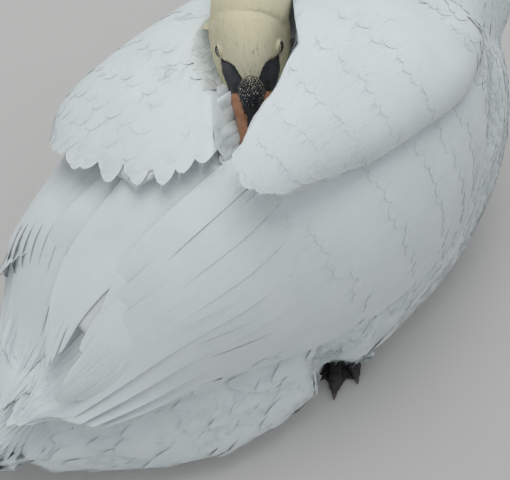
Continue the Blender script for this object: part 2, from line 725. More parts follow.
        self.take(verts.reshape(-1, 3), [quads, tris], around.reshape(-1, 3), np.repeat(tone, size),
                  np.tile(reach, count), np.tile(sides, count), bake, np.repeat(cream, size))

    def build(self, slot, material, *replaced, softness=0.55):
        verts, faces, around, tone, reach, across, bake, cream = zip(*self.parts)
        faces = by_width([f for group in faces for f in group])
        ob = make_mesh(
            self.name, np.concatenate(verts), faces,
            floats={"tone": np.concatenate(tone), "reach": np.concatenate(reach),
                    "cream": np.concatenate(cream)},
            uvs={"OFBake": np.concatenate(bake),
                 "Vane": np.stack([np.concatenate(across), np.concatenate(reach)], -1) * 0.5 + 0.5},
            normals=(softness, np.concatenate(around)),
        )
        print(f"piece {self.name}: {self.triangles} triangles")
        return finish_piece(ob, slot, material, *replaced)


def spaced(points, radius):
    """Indices of points kept so that none is nearer an earlier one than its radius."""
    cell = radius.max()
    grid = {}
    kept = []
    keys = np.floor(points / cell).astype(int).tolist()
    plain = points.tolist()
    limits = (radius ** 2).tolist()
    near = [(i, j, k) for i in (-1, 0, 1) for j in (-1, 0, 1) for k in (-1, 0, 1)]
    for index, (key, p, limit) in enumerate(zip(keys, plain, limits)):
        others = (q for i, j, k in near for q in grid.get((key[0] + i, key[1] + j, key[2] + k), ()))
        if not any((p[0] - q[0]) ** 2 + (p[1] - q[1]) ** 2 + (p[2] - q[2]) ** 2 < limit for q in others):
            grid.setdefault(tuple(key), []).append(p)
            kept.append(index)
    return np.array(kept, int)


# ---- Materials ---------------------------------------------------------------------------------
class Shader:
    """A short way to write a node material."""

    def __init__(self, name, roughness=0.6, **sockets):
        self.material = bpy.data.materials.new(name)
        self.material.use_nodes = True
        self.tree = self.material.node_tree
        self.bsdf = next(n for n in self.tree.nodes if n.type == "BSDF_PRINCIPLED")
        self.bsdf.inputs["Roughness"].default_value = roughness
        for key, value in sockets.items():
            self.bsdf.inputs[key.replace("_", " ")].default_value = value

    def node(self, kind, **values):
        n = self.tree.nodes.new(kind)
        for key, value in values.items():
            if hasattr(n, key):
                setattr(n, key, value)
            else:
                n.inputs[key].default_value = value
        return n

    def link(self, a, b):
        self.tree.links.new(a, b)
        return b

    def attribute(self, name):
        return self.node("ShaderNodeAttribute", attribute_name=name).outputs["Fac"]

    def object_place(self):
        return self.node("ShaderNodeTexCoord").outputs["Object"]

    def math(self, operation, a, b=0.0):
        n = self.node("ShaderNodeMath", operation=operation)
        for socket, value in zip(n.inputs, (a, b)):
            if isinstance(value, (int, float)):
                socket.default_value = value
            else:
                self.link(value, socket)
        return n.outputs[0]

    def ramp(self, value, low, high, start=0.0, end=1.0):
        ends = {"From Min": low, "From Max": high, "To Min": start, "To Max": end}
        n = self.node("ShaderNodeMapRange", interpolation_type="SMOOTHSTEP", **ends)
        self.link(value, n.inputs["Value"])
        return n.outputs["Result"]

    def noise(self, vector, scale, detail=3.0):
        n = self.node("ShaderNodeTexNoise", Scale=scale, Detail=detail, Roughness=0.55)
        self.link(vector, n.inputs["Vector"])
        return n.outputs["Fac"]

    def mix(self, factor, a, b):
        n = self.node("ShaderNodeMix", data_type="RGBA")
        for socket, value in ((n.inputs[0], factor), (n.inputs[6], a), (n.inputs[7], b)):
            if isinstance(value, (tuple, list)):
                socket.default_value = (*value, 1.0)
            elif isinstance(value, (int, float)):
                socket.default_value = value
            else:
                self.link(value, socket)
        return n.outputs[2]

    def mottle(self, vector, scale, detail, low, high, a, b):
        """One colour in patches on another."""
        return self.mix(self.ramp(self.noise(vector, scale, detail), low, high), a, b)

    def colour(self, socket):
        self.link(socket, self.bsdf.inputs["Base Color"])

    def bump(self, height, strength=0.3, distance=0.0005):
        n = self.node("ShaderNodeBump", Strength=strength, Distance=distance)
        self.link(height, n.inputs["Height"])
        self.link(n.outputs["Normal"], self.bsdf.inputs["Normal"])


WHITE = (0.82, 0.875, 0.875)
WHITE_SHADE = (0.78, 0.84, 0.84)
CREAM = (0.86, 0.80, 0.575)
CREAM_DEEP = (0.79, 0.73, 0.485)
BLACK_SKIN = (0.012, 0.012, 0.014)
BLACK_WORN = (0.020, 0.020, 0.023)
SLATE = (0.022, 0.026, 0.032)
SLATE_WORN = (0.046, 0.053, 0.064)
ORANGE = (0.44, 0.190, 0.100)
ORANGE_PALE = (0.56, 0.275, 0.155)
ORANGE_DARK = (0.32, 0.115, 0.060)
ROOT_SHADE, TONE_SHADE, SKIN_SHADE = (0.62, 0.62, 0.58), (0.72, 0.75, 0.76), (0.60, 0.58, 0.54)
LID_WORN = (0.035, 0.036, 0.040)
PUPIL, EYE_EDGE = (0.002, 0.002, 0.002), (0.010, 0.008, 0.007)
IRIS = (0.020, 0.011, 0.007)
IRIS_PALE = (0.052, 0.030, 0.018)


def creamed(sh, place, white):
    """White that goes over to cream by the share of it."""
    return sh.mix(sh.attribute("cream"), white, sh.mix(sh.noise(place, 260.0, 2.0), CREAM, CREAM_DEEP))


def worn_black(sh, place):
    return sh.mottle(place, 300.0, 3.0, 0.35, 0.75, BLACK_SKIN, BLACK_WORN)


def plumage_shader(name, barbs, depth):
    sh = Shader(name, roughness=0.62, Sheen_Weight=0.12, Sheen_Roughness=0.5)
    place = sh.object_place()
    white = sh.mottle(place, 22.0, 2.0, 0.3, 0.7, WHITE, WHITE_SHADE)
    base = creamed(sh, place, white)
    rooted = sh.mix(sh.ramp(sh.attribute("reach"), 0.0, 0.7, 0.08, 0.0), base, ROOT_SHADE)
    toned = sh.mix(sh.ramp(sh.attribute("tone"), 0.0, 1.0, 0.0, 0.10), rooted, TONE_SHADE)
    sh.colour(toned)
    uv = sh.node("ShaderNodeUVMap", uv_map="Vane").outputs["UV"]
    parts = sh.node("ShaderNodeSeparateXYZ")
    sh.link(uv, parts.inputs[0])
    side = sh.math("ABSOLUTE", sh.math("SUBTRACT", parts.outputs[0], 0.5))
    slant = sh.math("SUBTRACT", parts.outputs[1], sh.math("MULTIPLY", side, 0.5))
    wobble = sh.math("MULTIPLY", sh.noise(uv, 9.0, 2.0), 0.05)
    lines = sh.math("SINE", sh.math("MULTIPLY", sh.math("ADD", slant, wobble), barbs * 6.28))
    sh.bump(lines, depth, 0.0002)
    return sh.material


plumage = plumage_shader("plumage", barbs=34.0, depth=0.10)
flight_plumage = plumage_shader("flight_feather", barbs=90.0, depth=0.16)


def skin_shader():
    sh = Shader("skin", roughness=0.7)
    place = sh.object_place()
    base = creamed(sh, place, sh.mix(sh.noise(place, 40.0), WHITE, WHITE_SHADE))
    sh.colour(sh.mix(0.25, base, SKIN_SHADE))
    sh.bump(sh.noise(place, 900.0, 3.0), 0.3, 0.0004)
    return sh.material


HEAD_ROOM = [  # x in the head's frame, half width of head or bill, and its underside
    (-70, 26, -30), (-54, 27, -24), (-42, 36, -36), (-20, 42, -43), (0, 41, -43), (18, 35, -38),
    (32, 28, -32), (44, 20, -27), (64, 16, -27), (90, 15, -28), (106, 10, -28), (116, 4, -28),
]


def beside_head(p):
    """How far places in the head's frame are outside the outline of head and bill, seen from above."""
    x, half, _ = np.array(HEAD_ROOM, float).T
    past = np.maximum(np.maximum(p[..., 0] - x[-1], x[0] - p[..., 0]), 0)
    return np.hypot(np.maximum(np.abs(p[..., 1]) - np.interp(p[..., 0], x, half), 0), past)


HEAD_CLEAR = 2.5  # how far the feathers stay under the head, in mm
HOLLOW_WALL = 46  # how high the hollow's wall rises within 17 mm of the head's outline
HOLLOW_UNDER = 1.2  # how much deeper than its feathers the hollow's skin lies


def below_head(points, under=0.0):
    """Presses feathers down into a hollow in which the head and bill lie, and skin a little under them."""
    p = to_head(points)
    x, _, low = np.array(HEAD_ROOM, float).T
    out = beside_head(p)
    wall = HOLLOW_WALL * smooth(-2, 17, out) + 400 * smooth(15, 32, out)
    limit = np.interp(p[..., 0], x, low) - HEAD_CLEAR - under + wall
    p[..., 2] = np.minimum(p[..., 2], limit)
    return from_head(p)


# ---- Skin and guide ------------------------------------------------------------------------------
# How far in the skin lies, in mm, from the guide: the smooth outer form that the feathers are laid on.
COAT_DEPTH = {TRUNK: 0.85, NECK_PART: 1.0, HEAD_PART: 0.8, WING: 1.2, SCAPULAR: 1.2}
VOXEL, FAIRING = 4.0, 34  # of the guide: its grain in mm, and rounds of smoothing
guide_mesh = united(FLESH, VOXEL, FAIRING)


def node_tree(name):
    bm = bmesh.new()
    bm.from_mesh(nodes[name].data)
    tree = BVHTree.FromBMesh(bm)
    bm.free()
    return tree


node_trees = {name: node_tree(name) for name in FLESH}


def nearest_node(points):
    """The index in FLESH of the node each point lies on."""
    gaps = np.empty((len(points), len(FLESH)))
    plain = points.tolist()
    for k, name in enumerate(FLESH):
        find = node_trees[name].find_nearest
        gaps[:, k] = [find(p)[3] for p in plain]
    return gaps.argmin(1)


def kind_of(node_index):
    table = {"trunk": TRUNK, "head": HEAD_PART, **{n: NECK_PART for n in NECK}}
    kinds = [table.get(n, WING if n.startswith("wing") else SCAPULAR) for n in FLESH]
    return np.array(kinds)[node_index]


def lie_field(points, normals, kinds, edges):
    """Which way the coat lies: back along the body, down the neck, and away from the bill."""
    lie = np.tile([0.0, 1.0, -0.06], (len(points), 1))
    front = smooth(0.35, 0.95, -normals[:, 1])
    lie[:, 2] -= 1.3 * front
    lie[:, 0] += np.sign(points[:, 0]) * 0.25 * front
    on = kinds == NECK_PART
    lie[on] = -neck_tangents[on_neck(points[on])]
    on = kinds == HEAD_PART
    away = np.tile(-HEAD_ROT[:, 0], (on.sum(), 1))
    local = to_head(points[on])
    away += HEAD_ROT[:, 1] * (np.sign(local[:, 1]) * 0.16 * smooth(-40, 20, local[:, 0]))[:, None]
    away -= HEAD_ROT[:, 2] * (0.3 * smooth(10, -25, local[:, 2]) * smooth(40, 0, local[:, 0]))[:, None]
    lie[on] = away
    lie = unit(lie)
    count = neighbours(edges, points)
    for _ in range(14):
        lie = unit(0.5 * lie + 0.5 * neighbour_average(lie, edges, count))
        lie = unit(lie - normals * (lie * normals).sum(-1, keepdims=True))
    return lie


def sheet_of(me):
    co, edges = mesh_arrays(me)
    normals = read(me.vertex_normals, "vector", 3).astype(float)
    count = neighbours(edges, co)
    for _ in range(6):
        normals = unit(neighbour_average(normals, edges, count))
    faces = np.array([tuple(p.vertices) if len(p.vertices) == 4 else (*p.vertices, p.vertices[0])
                      for p in me.polygons])
    kinds = kind_of(nearest_node(co))
    return Sheet(co, faces, normals, lie_field(co, normals, kinds, edges)), kinds


guide, guide_kinds = sheet_of(guide_mesh)


def eye_hollows(points):
    """Draws the skin in behind each eye."""
    for side in (-1, 1):
        p = to_head(points)
        look, _, _ = eye_axes(side)
        off = p - eye_centre(side)
        outward = off @ look
        past = np.linalg.norm(off - outward[:, None] * look, axis=1)
        limit = 1.5 + 30 * smooth(7.5, 13, past)
        inward = np.where((outward > 0) & (outward < 13), np.maximum(outward - limit, 0), 0)
        points = from_head(p - look * inward[:, None])
    return points


def face_drawn_in(points):
    """Draws the skin of the face in under the bare skin in front of the eyes."""
    p = to_head(points)
    off = p[:, 1:] - [0, -6]
    radius = np.linalg.norm(off, axis=1)
    deeper = 2.6 * smooth(6, 12, p[:, 0]) * smooth(60, 48, p[:, 0]) * smooth(46, 38, radius)
    p[:, 1:] -= off / np.maximum(radius, 1)[:, None] * deeper[:, None]
    return from_head(p)


def build_skin():
    skin_mesh = guide_mesh.copy()
    skin_mesh.name = "skin"
    co, edges = mesh_arrays(skin_mesh)
    kinds = guide_kinds
    count = neighbours(edges, co)
    depth = np.array([COAT_DEPTH[k] for k in range(5)])[kinds][:, None]
    for _ in range(6):
        depth = neighbour_average(depth, edges, count)
    co -= guide.normals * depth * MM
    pressed = (kinds != HEAD_PART) & (kinds != NECK_PART) & ~((kinds == SCAPULAR) & (co[:, 0] < 0))
    co[pressed] = below_head(co[pressed], HOLLOW_UNDER)
    co = face_drawn_in(eye_hollows(co))
    co[:, 2] = np.maximum(co[:, 2], SKIN_LOW)
    put_places(skin_mesh, co)
    skin = bpy.data.objects.new("skin", skin_mesh)
    scene.collection.objects.link(skin)
    cream = cream_share(co) * ((kinds == HEAD_PART) | (kinds == NECK_PART))
    put_values(skin_mesh, {"cream": cream}, {"OFBake": bake_place(co, kinds)})
    skin_mesh.shade_smooth()
    return finish_piece(skin, "plumage", skin_shader(), *FLESH)


skin = build_skin()

# ---- Roots over the whole guide ---------------------------------------------------------------
face_centres = guide.verts[guide.faces].mean(1)
face_kinds = guide_kinds[guide.faces[:, 0]]
face_normals = unit(guide.normals[guide.faces].sum(1))


def roots_on(sheet, chosen, spacing, tries=3.0):
    """Evenly scattered roots over the chosen faces, and the gap of each. Spacing is in metres."""
    quads = sheet.verts[sheet.faces]
    ids = np.nonzero(chosen)[0]
    gap = np.broadcast_to(spacing, len(chosen))[ids]
    weight = face_areas_of(quads)[ids] / gap ** 2
    picks = rng.choice(len(ids), int(weight.sum() * tries), p=weight / weight.sum())
    a, b = rng.uniform(0, 1, (2, len(picks), 1))
    q = quads[ids[picks]]
    points = (q[:, 0] * (1 - a) + q[:, 1] * a) * (1 - b) + (q[:, 3] * (1 - a) + q[:, 2] * a) * b
    gaps = gap[picks] * rng.uniform(0.85, 1.1, len(picks))
    kept = spaced(points, gaps)
    return points[kept], gaps[kept]


fx, fy, fz = face_centres.T
on_trunk = face_kinds == TRUNK
on_wing = face_kinds == WING
on_scapular = face_kinds == SCAPULAR
floor_side = (fz < 0.004) & (face_normals[:, 2] < -0.7)


def tract_place(rows, side, points):
    """The (u, v) on a tract nearest each point."""
    u, v = np.meshgrid(np.linspace(0, 1, 60), np.linspace(0, 1, 40), indexing="ij")
    face = tract_point(rows, side, u, v)
    tree = BVHTree.FromPolygons(face.reshape(-1, 3).tolist(), grid_faces(60, 40).tolist())
    index = np.array([tree.find_nearest(p)[2] for p in points.tolist()])
    return u[:-1, :-1].reshape(-1)[index], v[:-1, :-1].reshape(-1)[index]


# Where the right scapulars' free end stops: the share across it at shares along it.
LOBE_U = [0.0, 0.52, 0.63, 0.74, 0.84, 0.92, 0.97, 1.0]
LOBE_V = [1.0, 1.0, 0.85, 0.75, 0.65, 0.5, 0.3, 0.0]


def contour_coat(name, chosen, spacing, length, half, fringe, swing=0.25, steps=4, **options):
    """A coat of body feathers over part of the guide, in mm. Lengths are (least, most), and half their width
    is a share of them. The options are those of vanes."""
    points, _ = roots_on(guide, chosen, spacing * MM)
    n = len(points)
    size = rng.uniform(0, 1, n)
    long = (length[0] + (length[1] - length[0]) * size) * MM
    spine, normals, headings = grow_spines(guide, points, long, steps, rng.normal(0, swing, n) * 0.5)
    coat = Coat(name)
    coat.vanes(guide, spine, normals, headings, long * half, "contour", fringe=fringe, uneven=0.08,
               **options)
    coat.build("plumage", plumage, softness=0.72)


# Breast, flanks, belly and rump: soft contour feathers. The places are in metres, in the model's frame.
lobe_u, lobe_v = tract_place(SCAPULARS_RIGHT, -1, face_centres)
past_lobe = (lobe_v > np.interp(lobe_u, LOBE_U, LOBE_V) - 0.12) & (lobe_u < 0.9)
beyond_lobe = on_scapular & (fx < 0) & (fy < -0.04) & past_lobe
breast = on_trunk & (fy < -0.20) & ~floor_side
flank = on_trunk & (fy >= -0.20) & (fy < 0.06) & (fz < 0.17) & ~floor_side
rear = on_trunk & (fy >= 0.06) & ~floor_side
plumed = on_trunk & (fy > -0.10) & (fy < 0.27) & (fz > 0.02) & (face_normals[:, 2] < 0.6)
back = on_trunk & (fy >= -0.20) & (fy < 0.06) & (fz >= 0.17)
belly = on_trunk & floor_side
hollow = (on_wing | on_scapular | on_trunk) & (beside_head(to_head(face_centres)) < 30)
hollow &= (fy > -0.17) & (fy < 0.10) & (face_normals[:, 2] > -0.2) & ~((fx < 0.015) & on_scapular)
shoulder = (on_wing & (fy < -0.10)) | (on_scapular & (fy < -0.19)) | beyond_lobe

contour_coat("coat_breast", breast, 5.6, (24, 34), 0.34, 12)
contour_coat("coat_flank", flank, 5.8, (32, 48), 0.28, 14, wave=0.3)
contour_coat("coat_rump", rear, 6.4, (34, 50), 0.30, 13, wave=0.3)
contour_coat("coat_plumes", plumed, 20.0, (58, 84), 0.17, 26, swing=0.5, lift=1.7, shallow=0.08, steps=9,
             across=7, wave=0.9, ragged=0.03, fringe_reach=0.10, camber=0.13)
contour_coat("coat_back", back, 12.0, (34, 44), 0.34, 4, shape=below_head)
contour_coat("coat_hollow", hollow, 5.0, (24, 34), 0.34, 14, shape=below_head, lift=0.6, shallow=0.2)
contour_coat("coat_belly", belly, 13.0, (24, 32), 0.36, 0, lift=0.0, depth=1.0, steps=3, across=3)
contour_coat("coat_shoulder", shoulder, 6.6, (26, 38), 0.34, 10)


def short_feathers(coat, sheet, points, length, half, part):
    """Short close feathers, each a small crowned vane."""
    n = len(points)
    spine, normals, headings = grow_spines(sheet, points, length * rng.uniform(0.8, 1.2, n), 2,
                                           rng.normal(0, 0.10, n))
    coat.vanes(sheet, spine, normals, headings, half, "contour", across=3, depth=0.6, shallow=0.26, lift=0.05,
               camber=0.10, ragged=0.05, part=part, settle=False, uneven=0.05)


# Neck and head: short close feathers.
station = on_neck(face_centres) / len(neck_points)
for name, low, high in (("coat_neck_lower", 0, 0.5), ("coat_neck_upper", 0.5, 1.01)):
    chosen = (face_kinds == NECK_PART) & (station >= low) & (station < high)
    gap = np.interp(station, [0, 0.3, 0.7, 0.9, 1], [3.6, 3.0, 2.2, 1.6, 1.35]) * MM
    points, gaps = roots_on(guide, chosen, gap)
    coat = Coat(name)
    short_feathers(coat, guide, points, gaps * 7.2, gaps * 0.78, NECK_PART)
    coat.build("plumage", plumage, softness=0.88)

# ---- Head ------------------------------------------------------------------------------------------
# In the head's frame, in millimetres. Head: x, half width at crown and cheeks, underside, crown.
HEAD_ROWS = [
    (-54, 22, 24, -22, 18), (-42, 31, 35, -34, 26), (-20, 33, 41, -42, 31), (0, 29, 40, -42, 30),
    (18, 24, 35, -36, 24), (32, 18, 29.5, -31, 15), (44, 14, 23.5, -27, 6),
]
BILL_UPPER_ROWS = [
    (34, 19.5, -15, 10), (48, 20, -16, 7), (64, 16.8, -17.5, 0), (82, 14.5, -19, -7), (98, 14.5, -21, -12),
    (108, 11, -22.5, -15),
]
BILL_LOWER_ROWS = [(32, 14, -25, -15.5), (60, 12.5, -25, -18), (88, 12, -25.5, -21), (103, 9, -26, -22.5)]
KNOB = {"x": 43, "z": 12, "length": 15, "width": 11.5, "height": 10}
NAIL = {"x": 108.5, "z": -18.5, "length": 8, "width": 7, "height": 6}
# The bare skin before the eyes: it starts at this x. Over x: its inner edge's y, and its lower edge's z.
LORE_FROM = 8.4
LORE_INNER = ([8.4, 10, 13.5, 17, 20.5, 24, 27.5, 31, 34, 37],
              [27.2, 26.0, 23.4, 17.8, 14.0, 11.8, 9.8, 8.2, 6.0, 0])
LORE_LOWER = ([8.4, 12, 16, 22, 30, 38, 46], [5.6, 3.4, 1.0, -3.6, -6.5, -10.5, -17])
OPENING = (0.66, 0.34)  # half length and half height of the opening between the lids, in radians


def head_ring(t, angle):
    """Points on the head's face at shares t along it and angles round it."""
    x, w, cheek, lo, hi = np.moveaxis(through(HEAD_ROWS, t), -1, 0)
    c, s = np.cos(angle), np.sin(angle)
    full = smooth(0, 1, 0.5 - 0.9 * s)
    return np.stack([x, c * (w + (cheek - w) * full), (lo + hi) / 2 + s * ((hi - lo) / 2)], -1)


def opening_share(points, side):
    """How far each point is from the middle of the eye's opening, as a share of its edge there."""
    look, ahead, above = eye_axes(side)
    off = unit(points - eye_centre(side))
    along = np.arctan2(off @ ahead, off @ look)
    over = np.arcsin(np.clip(off @ above, -1, 1))
    level = np.abs(over) / OPENING[1]
    return np.abs(along) / OPENING[0] + level ** 1.5 * 0.55 + level * 0.45, off @ look


def lids_raised(points, radius):
    """Lifts points over each eye on to the curve of its lids."""
    for side in (-1, 1):
        centre = eye_centre(side)
        off = points - centre
        far = np.linalg.norm(off, axis=-1)
        outward = (unit(off) @ eye_axes(side)[0])
        wish = np.where(far < radius, radius, far)
        share = smooth(-0.15, 0.40, outward)
        points = centre + unit(off) * (far + (wish - far) * share)[..., None]
    return points


def lore_share(p):
    """Above nought on the bare skin between eye and bill, in mm from its edge. Head frame."""
    x, y, z = p[..., 0], np.abs(p[..., 1]), p[..., 2]
    inner = y - np.interp(x, *LORE_INNER, left=60)
    over = np.where(z > -6, inner, 30)
    lower = z - np.interp(x, *LORE_LOWER)
    return np.minimum(np.minimum(over, lower), (x - LORE_FROM) * 2)


def head_sheet():
    around = 168
    rings = lids_raised(head_ring(*round_grid(120, around)), EYE_RADIUS + 0.75)
    caps = []
    for ring, end, steps in ((rings[0], (-58, 0, -2), 5), (rings[-1], (46, 0, -9), 3)):
        shares = np.sin(np.linspace(0, 1, steps + 1)[1:-1] * np.pi / 2)[:, None, None]
        way = np.array(end) - ring
        caps.append(ring + way * shares * [1, 0, 0] + way * [0, 1, 1] * (1 - np.sqrt(1 - shares ** 2)))
    rings = np.concatenate([caps[0][::-1], rings, caps[1]])
    verts = from_head(rings)
    normals = np.cross(np.roll(verts, -1, 1) - np.roll(verts, 1, 1), np.gradient(verts, axis=0))
    axis = from_head(rings * [1, 0, 0] + [0, 0, -6])
    normals = unit(normals) * np.sign((normals * (verts - axis)).sum(-1, keepdims=True))
    lie = -unit(np.gradient(verts, axis=0))
    return Sheet(verts, grid_faces(len(rings), around, closed=True), normals, lie)


def bare_skin_shader():
    sh = Shader("bare_skin", roughness=0.42, Specular_IOR_Level=0.4)
    place = sh.object_place()
    slate = sh.mottle(place, 320.0, 3.0, 0.3, 0.7, SLATE, SLATE_WORN)
    sh.colour(sh.mix(sh.attribute("edge"), slate, BLACK_SKIN))
    pores = sh.noise(place, 1500.0, 2.0)
    folds = sh.noise(place, 420.0, 2.0)
    sh.bump(sh.math("ADD", sh.math("MULTIPLY", folds, 0.7), sh.math("MULTIPLY", pores, 0.3)), 0.45, 0.0005)
    return sh.material


def black_horn_shader():
    sh = Shader("black_horn", roughness=0.40, Specular_IOR_Level=0.25)
    place = sh.object_place()
    sh.colour(worn_black(sh, place))
    sh.bump(sh.noise(place, 700.0, 4.0), 0.3, 0.0004)
    return sh.material


def bill_shader():
    sh = Shader("bill", roughness=0.40)
    place = sh.object_place()
    grain = sh.noise(place, 170.0, 4.0)
    warm = sh.mix(sh.ramp(grain, 0.3, 0.72), ORANGE, ORANGE_PALE)
    worn = sh.mix(sh.ramp(sh.noise(place, 900.0, 2.0), 0.58, 0.75, 0.0, 0.35), warm, ORANGE_DARK)
    sh.colour(sh.mix(sh.attribute("orange"), worn_black(sh, place), worn))
    sh.bump(sh.math("ADD", grain, sh.math("MULTIPLY", sh.noise(place, 1400.0, 2.0), 0.35)), 0.3, 0.0004)
    return sh.material


bare_skin, black_horn, bill_skin = bare_skin_shader(), black_horn_shader(), bill_shader()


def solid_tube(name, rings, ends, slot, material, *replaced, floats=None):
    """A closed form from rings of points in the head's frame and its two end points."""
    verts = np.concatenate([rings.reshape(-1, 3), np.array(ends, float)])
    faces = facing_out(verts, tube_faces(*rings.shape[:2]))
    ob = make_mesh(name, from_head(verts), faces, floats=floats)
    return finish_piece(ob, slot, material, *replaced)


def blunt_rings(rows, count, around):
    """Rings of blunt ovals along a table of x, half width, underside and top."""
    t, angle = round_grid(count, around)
    x, w, lo, hi = np.moveaxis(through(rows, t), -1, 0)
    y = w * power(np.cos(angle), 0.8)
    z = (lo + hi) / 2 + (hi - lo) / 2 * power(np.sin(angle), 0.8)
    return np.stack([x, y, z], -1)


def upper_bill():
    rings = blunt_rings(BILL_UPPER_ROWS, 120, 120)
    x, y, z = np.moveaxis(rings, -1, 0)
    row_x, _, row_lo, row_hi = np.array(BILL_UPPER_ROWS, float).T
    lo = np.interp(x, row_x, row_lo)
    middle = np.interp(x, row_x, (row_lo + row_hi) / 2)
    # Black over the ridge, round the base, along the cutting edge and at the tip.
    ridge = np.interp(x, [34, 43, 46, 56, 64, 71, 77, 80], [22, 13.2, 11.6, 9.6, 7.5, 6.6, 4.4, -2])
    flank = np.where(z > middle, np.abs(y) - ridge, 6)
    base = (x - np.interp(z, [-17, -8, 0, 8], [50, 44, 42, 43]))
    edge = z - lo - np.interp(x, [40, 60, 100], [3.6, 2.8, 2.4])
    wobble = 0.35 * np.sin(x * 0.9 + 2 * np.sin(y * 0.7)) + 0.25 * np.sin(x * 2.1 + y)
    inside = np.minimum(np.minimum(flank, base), np.minimum(edge, (104 - x))) + wobble
    orange = smooth(-0.45, 0.45, inside)
    # Nostrils, the swollen cutting edge, and the groove between ridge and side.
    out = np.zeros_like(x)
    nose = ((x - 63) / 5.2) ** 2 + ((np.abs(y) - 7.4 + 0.05 * (x - 63)) / 1.7) ** 2
    out -= 1.7 * smooth(1.0, 0.25, nose) * (z > middle)
    out += 0.5 * smooth(1.0, 1.9, nose) * smooth(3.4, 2.2, nose) * (z > middle)
    out += 0.55 * smooth(1.8, 0.4, z - lo) * smooth(34, 44, x)
    groove = smooth(2.0, 0.0, np.abs(np.abs(y) - ridge)) * smooth(44, 52, x) * smooth(80, 72, x)
    out -= 0.35 * groove * (z > middle)
    centre = np.stack([x, np.zeros_like(y), middle], -1)
    rings = rings + unit(rings - centre) * out[..., None]
    floats = {"orange": np.concatenate([orange.ravel(), [0, 0]])}
    return solid_tube("upper_mandible", rings, [(30, 0, -3), (111, 0, -19)], "bill", bill_skin, "bill_upper",
                      floats=floats)


def lower_bill():
    rings = blunt_rings(BILL_LOWER_ROWS, 70, 56)
    x, y, z = np.moveaxis(rings, -1, 0)
    rings[..., 2] += 0.9 * smooth(5, 0, np.abs(y)) * smooth(-22, -25, z) * smooth(34, 44, x)
    return solid_tube("lower_mandible", rings, [(29, 0, -20), (106, 0, -24)], "bill_black", black_horn,
                      "bill_lower")


def knob_surface(out=0.0, count=56, around=72):
    """The knob: rings about x, so that its ends close at front and back."""
    a, b = ball_angles(count, around)
    lumps = 0.35 * np.sin(5 * a + 1) * np.sin(3 * b) + 0.25 * np.sin(9 * a) * np.cos(5 * b + 0.6)
    crease = -0.5 * np.exp(-(((b - np.pi / 2) / 0.16) ** 2)) * smooth(1.2, 2.2, a)
    r = 1 + (lumps + crease + out) / 11.0
    x = KNOB["x"] - KNOB["length"] * np.cos(a) * r
    y = KNOB["width"] * np.sin(a) * np.cos(b) * r
    z = KNOB["z"] + KNOB["height"] * np.sin(a) * np.sin(b) * r
    return np.stack([x * np.ones_like(b), y, z], -1)


def knob():
    ends = [(KNOB["x"] - KNOB["length"], 0, KNOB["z"]), (KNOB["x"] + KNOB["length"], 0, KNOB["z"])]
    return solid_tube("knob", knob_surface(), ends, "bill_black", black_horn, "bill_knob")


def nail():
    a, b = ball_angles(24, 40)
    x = NAIL["x"] - NAIL["length"] * np.cos(a) * np.ones_like(b)
    y = NAIL["width"] * power(np.sin(a), 0.85) * power(np.cos(b), 0.9)
    z = NAIL["z"] + NAIL["height"] * np.sin(a) * np.sin(b)
    z -= 1.1 * smooth(0.55, 1.0, (x - NAIL["x"]) / NAIL["length"])
    z -= 0.5 * np.exp(-(y / 1.1) ** 2) * smooth(0, 1, np.sin(b)) * smooth(1.2, 2.0, a)
    ends = [(NAIL["x"] - NAIL["length"], 0, NAIL["z"]), (NAIL["x"] + NAIL["length"], 0, NAIL["z"] - 1.1)]
    return solid_tube("nail", np.stack([x, y, z], -1), ends, "bill_black", black_horn, "bill_nail")


def lores(side):
    """The bare skin from the eye's corner to the base of the bill, slightly sunk at its edges."""
    rows, columns = 90, 36
    turn = np.linspace(np.pi / 2, -np.pi / 2, 720)
    if side < 0:
        turn = np.pi - turn
    ts = np.linspace(0, 1, 2000)
    xs = through(HEAD_ROWS, ts)[:, 0]
    patch, edge = [], []
    for x in np.linspace(8.6, 43.8, rows):
        t = np.interp(x, xs, ts)
        ring = head_ring(np.full(len(turn), t), turn)
        share = lore_share(ring)
        inside = np.nonzero(share > 0)[0]
        if len(inside) < 2:
            middle = int(np.argmax(share))
            inside = np.array([middle, middle + 1])
        picked = np.linspace(turn[inside[0]], turn[inside[-1]], columns)
        ring = head_ring(np.full(columns, t), picked)
        share = np.linspace(0, 1, columns)
        width = np.linalg.norm(np.diff(ring, axis=0), axis=1).sum()
        near = np.minimum(share, 1 - share) * width
        if inside[0] == 0:
            near = (1 - share) * width
        lift = -0.7 + 1.35 * smooth(0, 1.3, near)
        patch.append(ring + unit(ring - [x, 0, -6]) * lift[:, None])
        edge.append(smooth(2.6, 0.6, near))
    patch = lids_raised(np.array(patch), EYE_RADIUS + 0.35)
    flat = from_head(patch.reshape(-1, 3))
    faces = facing_out(flat, [grid_faces(rows, columns)], from_head([25, 0, -6]))
    ob = make_mesh(f"lore_{SIDES[side]}", flat, faces, floats={"edge": np.array(edge).ravel()})
    return finish_piece(ob, "bill_black", bare_skin)


def eye_shader():
    sh = Shader("eye", roughness=0.04, Coat_Weight=1.0, Coat_Roughness=0.02)
    ring = sh.attribute("ring")
    place = sh.object_place()
    iris = sh.mottle(place, 2200.0, 3.0, 0.3, 0.7, IRIS, IRIS_PALE)
    inner = sh.mix(sh.ramp(ring, 0.37, 0.41), PUPIL, iris)
    sh.colour(sh.mix(sh.ramp(ring, 0.64, 0.74), inner, EYE_EDGE))
    return sh.material


def lid_shader():
    sh = Shader("lid", roughness=0.5)
    place = sh.object_place()
    sh.colour(sh.mottle(place, 1800.0, 2.0, 0.3, 0.7, BLACK_SKIN, LID_WORN))
    sh.bump(sh.noise(place, 2600.0, 2.0), 0.4, 0.0003)
    return sh.material


